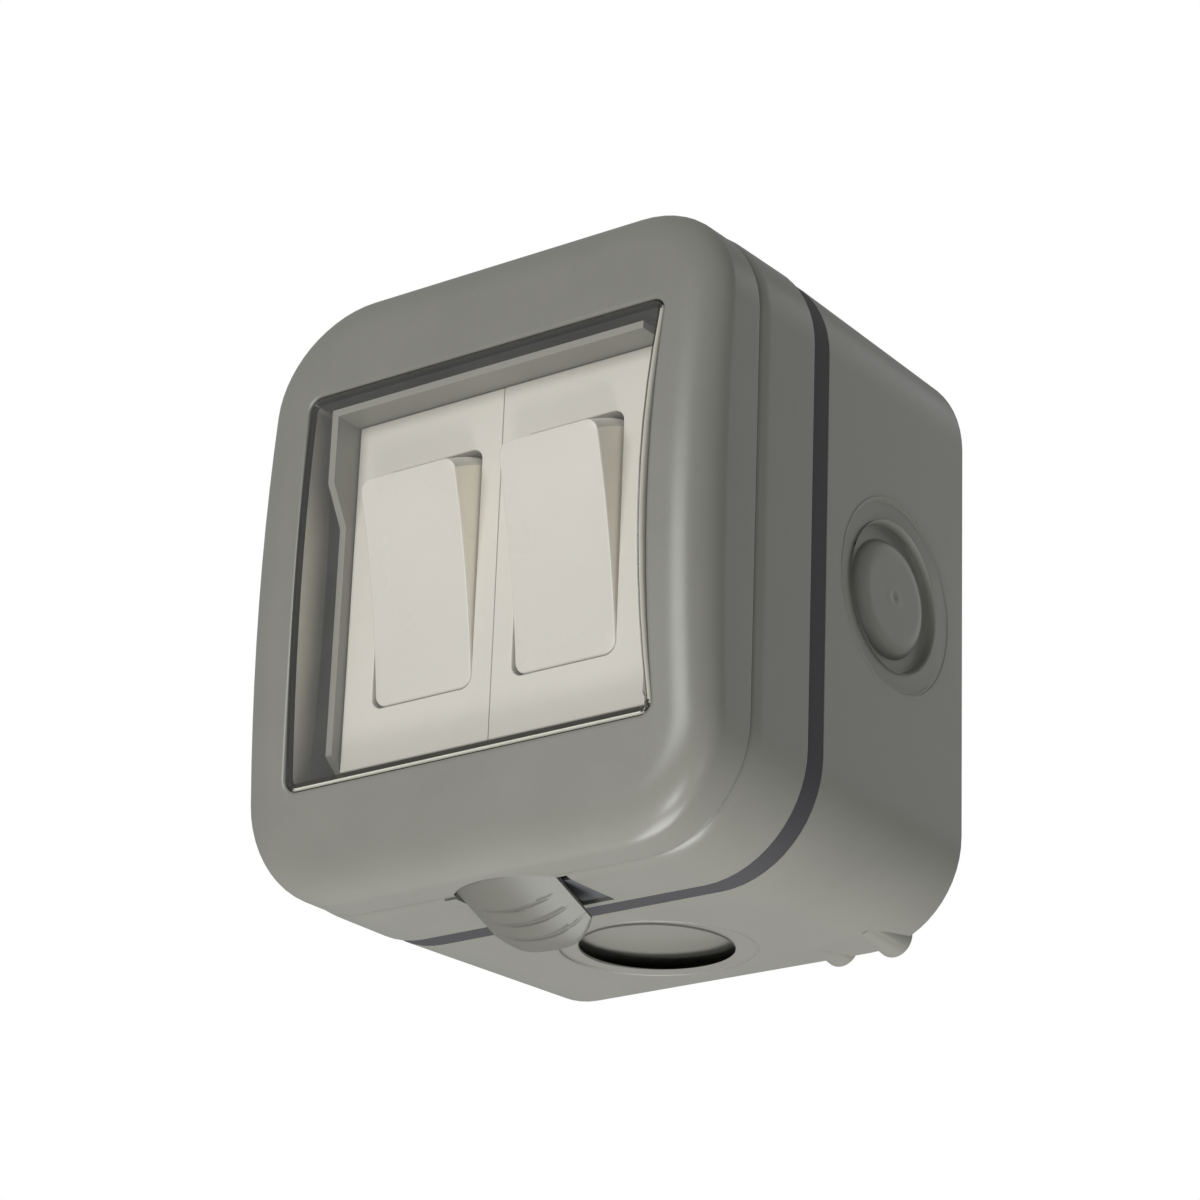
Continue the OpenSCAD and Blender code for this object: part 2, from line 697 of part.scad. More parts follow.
module rocker(s) {
    a = rocker_half_length;
    v = rocker_rise;
    wide = well_half_width - 0.3;
    on_rocker(s)
        difference() {
            union() {
                intersection() {
                    translate([-wide, 0, 0])
                        rotate([90, 0, 90])
                            linear_extrude(2 * wide)
                                polygon(concat([for (u = [-1:0.125:1]) [-v + rocker_dish * (1 - u * u), a * u]],
                                               [[-2, a - 0.3], [0.6, a - 4.5], [2.6, 4], [2.6, -4],
                                                [0.6, -a + 4.5], [-2, -a + 0.3]]));
                    slab(wide, a, 1.6, -v - 1, 6);
                }
                xcyl(0, 0, trunnion_radius, -wide - 1.6, wide + 1.6);
            }
            // hollow from behind, in front of it the face stays 2 mm thick
            difference() {
                block(-wide + 1.5, wide - 1.5, -v + rocker_dish + 2, 4, -a + 1.9, a - 1.9);
                ycyl(0, 0, plunger_radius + 1.5, -v, 5);
                block(-wide, wide, -1.9, 1.9, -1.9, 1.9);
            }
            ycyl(0, 0, plunger_radius + running_clearance + 0.05, -3.6, 8);
        }
    // guide tube of the plunger behind the hollow
    on_rocker(s)
        difference() {
            ycyl(0, 0, plunger_radius + 1.5, 2, 7.4);
            ycyl(0, 0, plunger_radius + running_clearance + 0.05, 1, 8);
        }
}

module rocker_left() color("#efecdf") rocker(-1);
module rocker_right() color("#efecdf") rocker(1);

module plunger(s) {
    on_rocker(s)
        rotate([-90, 0, 0])
            rotate_extrude($fn = 48)
                union() {
                    translate([0, 4])
                        square([plunger_radius, 4.6]);
                    translate([0, 8])
                        square([1.2, plunger_ball - 8]);
                    intersection() {
                        translate([0, plunger_ball])
                            circle(r = 1.2, $fn = 32);
                        translate([0, plunger_ball - 1])
                            square([2, 4]);
                    }
                }
}

module plunger_left() color("#d8d5ca") plunger(-1);
module plunger_right() color("#d8d5ca") plunger(1);

// Coil spring between the bottom of the bore and the plunger
module plunger_spring(s) {
    low = -3.55;
    high = 3.95;
    turns = spring_turns;
    steps = turns * 14;
    sides = 6;
    coil = plunger_radius - spring_wire - 0.1;
    span = high - low - 2 * spring_wire;
    points = [for (i = [0:steps]) for (j = [0:sides - 1])
        let(t = 360 * turns * i / steps, q = 360 * j / sides, rr = coil + spring_wire * cos(q))
        [rr * cos(t), low + spring_wire + span * i / steps + spring_wire * sin(q), rr * sin(t)]];
    skin = [for (i = [0:steps - 1]) for (j = [0:sides - 1]) for (t = [0, 1])
        let(a = i * sides + j, b = i * sides + (j + 1) % sides)
        t == 0 ? [a, a + sides, b] : [b, a + sides, b + sides]];
    ends = [[for (j = [0:sides - 1]) j], [for (j = [sides - 1:-1:0]) steps * sides + j]];
    on_rocker(s)
        polyhedron(points = points, faces = concat(skin, ends), convexity = 10);
}

module plunger_spring_left() color("#9a9a9a") plunger_spring(-1);
module plunger_spring_right() color("#9a9a9a") plunger_spring(1);

// Moulded base of one module: open cup for the contacts and a tower with three terminal pockets
module module_base(s) {
    cx = s * rocker_offset;
    tw = terminal_side / 2 + 1.4;
    difference() {
        union() {
            block(cx - base_half_width, cx + base_half_width, y_ledge, base_rear, -base_half_height,
                  base_half_height);
            block(cx - tw, cx + tw, base_rear - eps, tower_rear, -19, 19);
        }
        block(cx - base_half_width + 1.6, cx + base_half_width - 1.6, y_ledge - 1, base_rear - 1.6,
              -base_half_height + 1.6, base_half_height - 1.6);
        for (z = [-terminal_pitch, 0, terminal_pitch]) {
            block(cx - terminal_side / 2 - fit_gap / 2, cx + terminal_side / 2 + fit_gap / 2, base_rear,
                  tower_rear + 1, z - terminal_side / 2 - fit_gap / 2, z + terminal_side / 2 + fit_gap / 2);
            xcyl(base_rear + 3.6, z, wire_hole + 0.4, cx - 9, cx + 9, 32);
        }
        for (z = [-button_place, 0, button_place])
            ycyl(cx, z, (z == 0 ? 2 : button_radius) + fit_gap, base_rear - 2, base_rear + 0.5);
    }
}

module module_base_left() color("#55565a") module_base(-1);
module module_base_right() color("#55565a") module_base(1);

// Moving contact: a bent strip that see-saws on the fulcrum, with a silver button at each end
module moving_contact(s) {
    t = 0.8;
    translate([s * rocker_offset, fulcrum_y, 0])
        rotate([-contact_tilt, 0, 0])
            union() {
                translate([-2.5, 0, 0])
                    rotate([90, 0, 90])
                        linear_extrude(5)
                            polygon([[-running_clearance, 0],
                                     [-contact_half_length * tan(contact_bend), contact_half_length],
                                     [-contact_half_length * tan(contact_bend) - t, contact_half_length],
                                     [-t, 0],
                                     [-contact_half_length * tan(contact_bend) - t, -contact_half_length],
                                     [-contact_half_length * tan(contact_bend), -contact_half_length]]);
                for (z = [-1, 1])
                    rotate([z * contact_bend, 0, 0])
                        ycyl(0, z * button_place / cos(contact_bend), button_radius, -0.3, button_height,
                             n = 32);
            }
}

module moving_contact_left() color("#c48a4a") moving_contact(-1);
module moving_contact_right() color("#c48a4a") moving_contact(1);

// Terminal block behind the base floor, with a stem that reaches forward to the station y
module terminal(cx, z, zs, y, r) {
    a = terminal_side / 2;
    difference() {
        union() {
            block(cx - a, cx + a, base_rear + 0.05, base_rear + terminal_side - 0.4, z - a, z + a);
            ycyl(cx, zs, r, y, base_rear + 1, n = 32);
        }
        xcyl(base_rear + 3.6, z, wire_hole, cx - a - 1, cx + a + 1, 32);
        ycyl(cx, z, small_screw + running_clearance, base_rear + 4, tower_rear, n = 32);
    }
}

module common_terminal(s) {
    cx = s * rocker_offset;
    difference() {
        terminal(cx, 0, 0, fulcrum_y + 0.02, 2);
        // knife edge of the fulcrum
        for (z = [-1, 1])
            translate([cx, fulcrum_y, 0])
                rotate([z * 38, 0, 0])
                    translate([-3, -4, z > 0 ? 0 : -4])
                        cube([6, 4, 4]);
    }
}

module common_terminal_left() color("#c9a24a") common_terminal(-1);
module common_terminal_right() color("#c9a24a") common_terminal(1);

module way_terminals(s) {
    lean = contact_bend - contact_tilt;
    rest = fulcrum_y - button_place * tan(lean) + button_height + button_radius * sin(lean) + 0.05;
    for (z = [-1, 1])
        terminal(s * rocker_offset, z * terminal_pitch, z * button_place, rest, button_radius);
}

module way_terminals_left() color("#c9a24a") way_terminals(-1);
module way_terminals_right() color("#c9a24a") way_terminals(1);

module terminal_screws(s) {
    for (z = [-terminal_pitch, 0, terminal_pitch])
        screw(s * rocker_offset, z, base_rear + terminal_side - 0.35, -1, small_screw, 3, 2, 1.2);
}

module terminal_screws_left() color("#b8b8b4") terminal_screws(-1);
module terminal_screws_right() color("#b8b8b4") terminal_screws(1);

back_box();
box_gasket();
lid();
window_membrane();
membrane_frame();
frame_screws();
hinge_pin();
latch();
latch_pin();
carrier();
carrier_screws();
earth_terminal();
earth_screw();
module_front_left();
module_front_right();
module_base_left();
module_base_right();
rocker_left();
rocker_right();
plunger_left();
plunger_right();
plunger_spring_left();
plunger_spring_right();
moving_contact_left();
moving_contact_right();
common_terminal_left();
common_terminal_right();
way_terminals_left();
way_terminals_right();
terminal_screws_left();
terminal_screws_right();
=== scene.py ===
from math import atan, cos, pi, radians, sin, sqrt, tan

import bmesh
import bpy
from mathutils import Matrix, Vector


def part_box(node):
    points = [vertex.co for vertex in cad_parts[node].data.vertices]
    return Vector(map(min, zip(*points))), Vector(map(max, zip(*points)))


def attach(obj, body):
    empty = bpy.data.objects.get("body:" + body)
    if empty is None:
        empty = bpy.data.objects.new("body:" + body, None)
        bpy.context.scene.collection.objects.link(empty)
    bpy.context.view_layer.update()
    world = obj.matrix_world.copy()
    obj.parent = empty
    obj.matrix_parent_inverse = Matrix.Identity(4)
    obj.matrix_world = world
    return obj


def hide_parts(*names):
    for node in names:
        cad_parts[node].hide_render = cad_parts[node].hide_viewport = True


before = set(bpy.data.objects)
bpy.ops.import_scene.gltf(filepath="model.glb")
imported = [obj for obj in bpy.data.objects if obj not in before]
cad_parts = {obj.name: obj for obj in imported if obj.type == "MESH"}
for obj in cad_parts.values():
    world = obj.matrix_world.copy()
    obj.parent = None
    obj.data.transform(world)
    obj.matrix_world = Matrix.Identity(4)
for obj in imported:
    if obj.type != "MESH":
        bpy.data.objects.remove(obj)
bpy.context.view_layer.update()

MM = 0.001

# Camera
# It looks up at the switch from the lower right, as the photograph does, with a long lens. The place and
# the three directions come from the edges of the box, the lid and the window in the photograph.
camera_place = Vector((345.5, -487.9, -225.9)) * MM
camera_right = Vector((0.80146, 0.59699, 0.03549))
camera_down = Vector((-0.19676, 0.31927, -0.92701))
camera_ahead = Vector((-0.56475, 0.73599, 0.37335))
camera_data = bpy.data.cameras.new("camera")
camera_data.sensor_width = 36
camera_data.lens = 120.2
camera = bpy.data.objects.new("camera", camera_data)
turn = Matrix((camera_right, -camera_down, -camera_ahead)).transposed()
camera.matrix_world = Matrix.Translation(camera_place) @ turn.to_4x4()
bpy.context.scene.collection.objects.link(camera)
bpy.context.scene.camera = camera
bpy.context.scene.view_settings.view_transform = "Standard"


# Shader language
# A socket wrapped so that arithmetic on it adds Math nodes, and one method that adds any other node.
class Wire:
    def __init__(self, socket):
        self.socket = socket
        self.tree = socket.id_data

    def maths(self, operation, other=None, swap=False):
        node = self.tree.nodes.new("ShaderNodeMath")
        node.operation = operation
        values = [self] if other is None else [other, self] if swap else [self, other]
        for slot, value in zip(node.inputs, values):
            if isinstance(value, Wire):
                self.tree.links.new(value.socket, slot)
            else:
                slot.default_value = value
        return Wire(node.outputs[0])

    def __add__(self, other): return self.maths("ADD", other)
    def __radd__(self, other): return self.maths("ADD", other)
    def __sub__(self, other): return self.maths("SUBTRACT", other)
    def __rsub__(self, other): return self.maths("SUBTRACT", other, True)
    def __mul__(self, other): return self.maths("MULTIPLY", other)
    def __rmul__(self, other): return self.maths("MULTIPLY", other)
    def __truediv__(self, other): return self.maths("DIVIDE", other)
    def __pow__(self, other): return self.maths("POWER", other)
    def __gt__(self, other): return self.maths("GREATER_THAN", other)
    def clamp(self): return self.maths("MAXIMUM", 0.0).maths("MINIMUM", 1.0)


class Finish:
    """A node material: add() makes a node, wire() reads one of its outputs."""

    def __init__(self, name):
        self.material = bpy.data.materials.new(name)
        self.material.use_nodes = True
        self.tree = self.material.node_tree
        self.tree.nodes.clear()
        self.output = self.tree.nodes.new("ShaderNodeOutputMaterial")

    def add(self, kind, settings=None, **values):
        node = self.tree.nodes.new(kind)
        for key, value in (settings or {}).items():
            if key == "stops":
                for i, (place, colour) in enumerate(value):
                    stop = node.color_ramp.elements[i] if i < 2 else node.color_ramp.elements.new(place)
                    stop.position, stop.color = place, colour
            else:
                setattr(node, key, value)
        for key, value in values.items():
            slot = node.inputs[int(key[1:])] if key[1:].isdigit() else node.inputs[key.replace("_", " ")]
            if isinstance(value, Wire):
                self.tree.links.new(value.socket, slot)
            else:
                slot.default_value = value
        return node

    def wire(self, kind, settings=None, out=0, **values):
        return Wire(self.add(kind, settings, **values).outputs[out])

    def place(self):
        return self.wire("ShaderNodeTexCoord", out="Object")

    def noise(self, size_mm, detail=2.0, rough=0.5, warp=0.0):
        return self.wire("ShaderNodeTexNoise", Vector=self.place(), Scale=1 / (size_mm * MM), Detail=detail,
                         Roughness=rough, Distortion=warp)

    def mix(self, share, one, two):
        return self.wire("ShaderNodeMix", {"data_type": "RGBA"}, out=2, _0=share, _6=one, _7=two)

    def bump(self, height, depth_mm, strength=1.0):
        return self.wire("ShaderNodeBump", Height=height, Distance=depth_mm * MM, Strength=strength)

    def surface(self, **values):
        shader = self.add("ShaderNodeBsdfPrincipled", **values)
        self.tree.links.new(shader.outputs[0], self.output.inputs[0])
        return self.material


def tone(r, g, b):
    """Linear colour of an 8-bit screen colour."""
    return tuple((v / 255 / 12.92 if v < 10 else ((v / 255 + 0.055) / 1.055) ** 2.4) for v in (r, g, b)) + (1,)


# Floor, sky and lamps
# A pale floor well below the switch, which hangs on a wall, and broad soft lamps: the strongest one from
# below on the left, as the photograph's light underside and dark right side show.
floor_drop = 0.62
floor_mesh = bmesh.new()
bmesh.ops.create_grid(floor_mesh, x_segments=4, y_segments=4, size=4)
bmesh.ops.translate(floor_mesh, verts=floor_mesh.verts, vec=(0, 0, -floor_drop))
floor_data = bpy.data.meshes.new("floor")
floor_mesh.to_mesh(floor_data)
floor_mesh.free()
floor = bpy.data.objects.new("floor", floor_data)
bpy.context.scene.collection.objects.link(floor)
floor_finish = Finish("floor_paint")
floor_finish.surface(Base_Color=(0.86, 0.86, 0.86, 1), Roughness=0.9)
floor_data.materials.append(floor_finish.material)

sky = bpy.data.worlds.new("sky")
bpy.context.scene.world = sky
sky.use_nodes = True
sky_nodes = sky.node_tree
sky_nodes.nodes.clear()
seen = sky_nodes.nodes.new("ShaderNodeLightPath")
sky_pair = []
for strength in (0.33, 1.0):
    background = sky_nodes.nodes.new("ShaderNodeBackground")
    background.inputs[0].default_value = (1, 1, 1, 1)
    background.inputs[1].default_value = strength
    sky_pair.append(background)
sky_mix = sky_nodes.nodes.new("ShaderNodeMixShader")
sky_out = sky_nodes.nodes.new("ShaderNodeOutputWorld")
either = Wire(seen.outputs["Is Camera Ray"]).maths("MAXIMUM", Wire(seen.outputs["Is Transmission Ray"]))
sky_nodes.links.new(either.socket, sky_mix.inputs[0])
sky_nodes.links.new(sky_pair[0].outputs[0], sky_mix.inputs[1])
sky_nodes.links.new(sky_pair[1].outputs[0], sky_mix.inputs[2])
sky_nodes.links.new(sky_mix.outputs[0], sky_out.inputs[0])

# name, place, size, watts
lamps = [("key", (0.11, -0.365, -0.42), 0.10, 0.6),
         ("side", (0.45, -0.25, -0.36), 0.12, 0.12),
         ("front", (-0.12, -0.95, 0.16), 0.50, 5.2),
         ("low", (0.02, -0.02, -0.50), 0.30, 2.0),
         ("rear", (0.30, 0.80, 0.45), 0.60, 0.7)]
for name, place, size, watts in lamps:
    lamp_data = bpy.data.lights.new(name + "_lamp", "AREA")
    lamp_data.size = size
    lamp_data.energy = watts
    lamp = bpy.data.objects.new(name + "_lamp", lamp_data)
    lamp.location = place
    lamp.rotation_mode = "QUATERNION"
    lamp.rotation_quaternion = (Vector((0, -0.035, 0)) - Vector(place)).to_track_quat("-Z", "Y")
    bpy.context.scene.collection.objects.link(lamp)


# Back box
# A deep drafted box moulded in grey plastic, with a closed round knock-out in each side, four posts for the
# carrier, the tongue that the latch hooks and the knuckle of the hinge. It is screwed to the wall.
box_low, box_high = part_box("back_box")
rim_half = Vector((43.0, 49.0))
rim_station = -39.8
box_corner = 17.2
box_draft = 1.25
box_wall = 2.5
corner_steps = 14
side_steps = 10
knockout_station = -20.2


def outline(half_w, half_h, radius, bow=0.0):
    """Points (x, z) round a rectangle with rounded corners, in mm; its upright sides may bow inwards."""
    points = []
    for quarter in range(4):
        sx, sz = ((1, 1), (-1, 1), (-1, -1), (1, -1))[quarter]
        for i in range(corner_steps):
            a = radians(90 * quarter + 90 * i / corner_steps)
            points.append((sx * (half_w - radius) + radius * cos(a), sz * (half_h - radius) + radius * sin(a)))
        a = radians(90 * (quarter + 1))
        first = Vector((sx * (half_w - radius) + radius * cos(a), sz * (half_h - radius) + radius * sin(a)))
        nx, nz = ((-1, 1), (-1, -1), (1, -1), (1, 1))[quarter]
        last = Vector((nx * (half_w - radius) + radius * cos(a), nz * (half_h - radius) + radius * sin(a)))
        points += [tuple(first.lerp(last, i / side_steps)) for i in range(side_steps)]
    return [(x - (bow * (1 - (z / half_h) ** 2) if x > 0 else -bow * (1 - (z / half_h) ** 2)), z) for x, z in points]


def first_ring(mesh, points, station):
    """A closed ring of edges through the points, at a depth that is a number or a rule of x and z."""
    ring = bmesh.ops.create_circle(mesh, segments=len(points), radius=1)["verts"]
    put(ring, points, station)
    return ring


def put(ring, points, station):
    for vert, (x, z) in zip(ring, points):
        y = station(x, z) if callable(station) else station
        vert.co = Vector((x, y, z)) * MM


def next_ring(mesh, ring, points, station):
    """Extrudes the last edge ring and sets the new one on the points."""
    edges = [mesh.edges.get((a, b)) for a, b in zip(ring, ring[1:] + ring[:1])]
    old = set(ring)
    made = bmesh.ops.extrude_edge_only(mesh, edges=edges)["geom"]
    partner = {}
    for vert in (g for g in made if isinstance(g, bmesh.types.BMVert)):
        for edge in vert.link_edges:
            if edge.other_vert(vert) in old:
                partner[edge.other_vert(vert)] = vert
    fresh = [partner[v] for v in ring]
    put(fresh, points, station)
    return fresh


def close_ring(mesh, ring):
    bmesh.ops.contextual_create(mesh, geom=[mesh.edges.get((a, b)) for a, b in zip(ring, ring[1:] + ring[:1])])


def bridge(mesh, one, two):
    edges = [mesh.edges.get((a, b)) for r in (one, two) for a, b in zip(r, r[1:] + r[:1])]
    bmesh.ops.bridge_loops(mesh, edges=edges)


def finished(name, mesh):
    """Turns a bmesh into an object with its faces pointing outwards."""
    bmesh.ops.remove_doubles(mesh, verts=mesh.verts, dist=0.002 * MM)
    bmesh.ops.recalc_face_normals(mesh, faces=mesh.faces)
    data = bpy.data.meshes.new(name)
    mesh.to_mesh(data)
    mesh.free()
    made = bpy.data.objects.new(name, data)
    bpy.context.scene.collection.objects.link(made)
    return made


def settle(piece):
    """Applies the piece's modifiers to its mesh."""
    bpy.context.view_layer.update()
    seen_now = piece.evaluated_get(bpy.context.evaluated_depsgraph_get())
    data = bpy.data.meshes.new_from_object(seen_now)
    piece.modifiers.clear()
    piece.data = data


def cut(piece, tools, how="DIFFERENCE"):
    """Cuts the tools away from the piece, or joins them to it, and deletes them."""
    for tool in tools:
        change = piece.modifiers.new("cut", "BOOLEAN")
        change.solver = "EXACT"
        change.operation = how
        change.object = tool
        settle(piece)
        bpy.data.objects.remove(tool)


def soften(piece, width_mm, steps=2, angle=35, smooth=32):
    """Rounds the sharp edges and evens the shading."""
    if width_mm:
        edge = piece.modifiers.new("edge", "BEVEL")
        edge.width = width_mm * MM
        edge.segments = steps
        edge.limit_method = "ANGLE"
        edge.angle_limit = radians(angle)
        edge.use_clamp_overlap = True
        settle(piece)
    piece.data.shade_smooth()
    piece.data.set_sharp_from_angle(angle=radians(smooth))
    even = piece.modifiers.new("even", "WEIGHTED_NORMAL")
    even.keep_sharp = True
    even.weight = 100
    settle(piece)


def rod(name, axis, place, radius, start, stop, steps=48, end_radius=None):
    """Round bar along an axis; place holds its two other coordinates, in mm."""
    mesh = bmesh.new()
    bmesh.ops.create_cone(mesh, cap_ends=True, segments=steps, radius1=radius * MM,
                          radius2=(radius if end_radius is None else end_radius) * MM, depth=(stop - start) * MM)
    if axis == "x":
        bmesh.ops.rotate(mesh, verts=mesh.verts, matrix=Matrix.Rotation(pi / 2, 3, "Y"))
        centre = ((start + stop) / 2, place[0], place[1])
    else:
        bmesh.ops.rotate(mesh, verts=mesh.verts, matrix=Matrix.Rotation(-pi / 2, 3, "X"))
        centre = (place[0], (start + stop) / 2, place[1])
    bmesh.ops.translate(mesh, verts=mesh.verts, vec=Vector(centre) * MM)
    return finished(name, mesh)


def slab(name, low, high):
    mesh = bmesh.new()
    bmesh.ops.create_cube(mesh, size=1)
    low, high = Vector(low), Vector(high)
    for vert in mesh.verts:
        vert.co = Vector([(low[i] + high[i]) / 2 + vert.co[i] * (high[i] - low[i]) for i in range(3)]) * MM
    return finished(name, mesh)


def turned(name, profile, turn, place):
    """Closed shape turned from (radius, height) points about Z, then turned and placed."""
    mesh = bmesh.new()
    chain = [mesh.verts.new((r * MM, 0, h * MM)) for r, h in profile]
    edges = [mesh.edges.new(pair) for pair in zip(chain, chain[1:])]
    bmesh.ops.spin(mesh, geom=chain + edges, cent=(0, 0, 0), axis=(0, 0, 1), angle=2 * pi, steps=96,
                   use_merge=True)
    bmesh.ops.remove_doubles(mesh, verts=mesh.verts, dist=0.001 * MM)
    bmesh.ops.rotate(mesh, verts=mesh.verts, matrix=turn)
    bmesh.ops.translate(mesh, verts=mesh.verts, vec=Vector(place) * MM)
    return finished(name, mesh)


def loft(name, rings, closed=False):
    """Solid through rings of points, each at its own depth; closed joins the last ring to the first."""
    mesh = bmesh.new()
    start = ring = first_ring(mesh, *rings[0])
    if not closed:
        close_ring(mesh, ring)
    for points, station in rings[1:]:
        ring = next_ring(mesh, ring, points, station)
    if closed:
        bridge(mesh, start, ring)
    else:
        close_ring(mesh, ring)
    return finished(name, mesh)


def hinge_arm(name, start, stop, foot):
    """Knuckle of the hinge, blended into a foot that is given as a station and a height range."""
    mesh = bmesh.new()
    bmesh.ops.create_cone(mesh, segments=48, radius1=knuckle_radius * MM, radius2=knuckle_radius * MM,
                          depth=(stop - start) * MM, cap_ends=True)
    bmesh.ops.rotate(mesh, verts=mesh.verts, matrix=Matrix.Rotation(pi / 2, 3, "Y"))
    bmesh.ops.translate(mesh, verts=mesh.verts,
                        vec=Vector(((start + stop) / 2, hinge_axis[0], hinge_axis[1])) * MM)
    for corner in bmesh.ops.create_cube(mesh, size=1)["verts"]:
        corner.co = Vector(((start + stop) / 2 + corner.co.x * (stop - start),
                            foot[0] + (foot[1] - foot[0]) * (corner.co.y + 0.5), foot[2] + corner.co.z + 0.5)) * MM
    hull = bmesh.ops.convex_hull(mesh, input=mesh.verts)
    spare = [g for g in hull["geom_interior"] + hull["geom_unused"] if isinstance(g, bmesh.types.BMVert)]
    bmesh.ops.delete(mesh, geom=spare, context="VERTS")
    bmesh.ops.dissolve_limit(mesh, angle_limit=radians(1), verts=mesh.verts, edges=mesh.edges)
    return finished(name, mesh)


hinge_axis = (-42.0, 52.4)
hinge_bore = 1.3
knuckle_radius = 2.9
box_knuckle = 12.0
foot_height = 48.45
post_place = (30.5, 36.5)


def box_outline(inset):
    return outline(rim_half.x - inset, rim_half.y - inset, box_corner - inset)


back_box = loft("back_box_shell", [(box_outline(inset), y) for inset, y in (
    (box_draft + 0.8, 0.0), (box_draft + 0.25, -0.12), (box_draft, -0.6), (0.0, rim_station + 0.12),
    (0.03, rim_station + 0.03), (0.12, rim_station), (box_wall - 0.3, rim_station), (box_wall, rim_station + 0.3),
    (box_wall + box_draft, -box_wall - 0.8), (box_wall + box_draft + 0.8, -box_wall))])
sides = [(sx, sz) for sx in (-1, 1) for sz in (-1, 1)]
flange_station = rim_station - 1.8
added = [rod("post", "y", (sx * post_place[0], sz * post_place[1]), 4.3, flange_station, -1.5, end_radius=4.0)
         for sx, sz in sides]
added += [rod("collar", "y", (sx * 20, sz * 33), 4.3, -6, -1.5) for sx, sz in sides]
added += [rod("drain_boss", "y", (x, -45.7), 1.92, -9, -0.02, end_radius=3.2) for x in (20, 29.6)]
added += [slab("tongue_root", (-7, rim_station + 0.02, -47.2), (7, rim_station + 6, -43.6)),
          slab("tongue", (-7, rim_station - 10, -46.1), (7, rim_station + 1, -43.62)),
          slab("catch", (-6, rim_station - 9.2, -47.2), (6, rim_station - 7.3, -45.5)),
          slab("earth_cradle", (-27, -8, -20), (-15, -1.5, -8)),
          hinge_arm("box_knuckle", -box_knuckle, box_knuckle, (rim_station + 0.01, rim_station + 4, foot_height))]
cut(back_box, added, "UNION")
lean = atan(box_draft / -rim_station)
middle = box_draft * (1 + knockout_station / -rim_station)
# radius and height of the seat, of the raised ring round it, then of the tear groove and the disc in it
seat_profile = [(11.9, -0.4), (14.4, -0.4), (14.7, -0.32), (14.9, -0.1), (14.95, 1.2), (11.9, 1.2), (11.9, -0.4)]
ring_profile = [(14.98, -0.4), (15.02, -0.02), (15.1, 0.07), (15.2, 0.12), (15.3, 0.12), (15.4, 0.07),
                (15.48, -0.02), (15.52, -0.4), (14.98, -0.4)]
disc_profile = [(0, -0.42), (0.35, -0.4), (0.65, -0.3), (1.0, -0.23), (1.6, -0.26), (2.6, -0.31), (4.8, -0.28),
                (5.6, -0.31), (6.4, -0.28), (7.0, -0.31), (7.5, -0.39), (8.0, -0.54), (8.4, -0.74), (8.75, -1.0),
                (9.0, -1.3), (9.2, -1.65), (9.3, -1.9), (11.0, -1.9), (11.25, -1.8), (11.42, -1.5),
                (11.52, -0.9), (11.6, -0.5), (11.75, -0.35), (11.95, 0.05), (12.3, 0.3), (12.4, 1.4), (0, 1.4)]
removed = []
added = []
for s in (-1, 1):
    face_x = Matrix.Rotation(s * pi / 2, 3, "Y")
    face_z = Matrix.Rotation(0 if s > 0 else pi, 3, "X")
    at_x = (s * (rim_half.x - middle), knockout_station, 0)
    at_z = (0, knockout_station, s * (rim_half.y - middle))
    for turn, tilt, place in ((face_x, Matrix.Rotation(s * lean, 3, "Z"), at_x),
                              (face_z, Matrix.Rotation(-s * lean, 3, "X"), at_z)):
        added.append(turned("seat_ring", ring_profile, tilt @ turn, place))
        removed += [turned("seat_tool", seat_profile, turn, place), turned("disc_tool", disc_profile, turn, place)]
cut(back_box, added, "UNION")
removed += [rod("fixing", "y", (sx * 20, sz * 33), 2.3, -7, 1) for sx, sz in sides]
removed += [rod("post_bore", "y", (sx * post_place[0], sz * post_place[1]), 1.6, flange_station - 1,
                flange_station + 16) for sx, sz in sides]
removed += [rod("hinge_bore", "x", hinge_axis, hinge_bore, -box_knuckle - 1, box_knuckle + 1),
            slab("earth_pocket", (-25.08, -9, -18.08), (-16.92, -3, -9.92))]
cut(back_box, removed)
soften(back_box, 0)

grey = (125, 125, 118)
grain_size = 0.22


def moulded(name, colour, gloss=0.34, grain=0.012, mottle=0.05):
    """Grey moulded plastic: fine spark-eroded grain, cloudy flow marks and slightly uneven gloss."""
    finish = Finish(name)
    cloud = finish.noise(14, 3, 0.55, 0.4)
    speck = finish.noise(0.6, 3, 0.6)
    dark = tuple(v * (1 - mottle) for v in colour[:3]) + (1,)
    light = tuple(min(1, v * (1 + mottle)) for v in colour[:3]) + (1,)
    share = (cloud * 0.75 + speck * 0.25 - 0.5) * 1.6 + 0.5
    tint = finish.mix(share.clamp(), dark, light)
    height = finish.noise(grain_size, 2, 0.6) + finish.noise(3.5, 2) * 0.6
    finish.surface(Base_Color=tint, Roughness=cloud * 0.10 + speck * 0.08 + (gloss - 0.09),
                   Normal=finish.bump(height, grain), Specular_IOR_Level=0.45)
    return finish.material


box_plastic = moulded("box_plastic", tone(*grey))
back_box.data.materials.append(box_plastic)
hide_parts("back_box")
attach(back_box, "box")


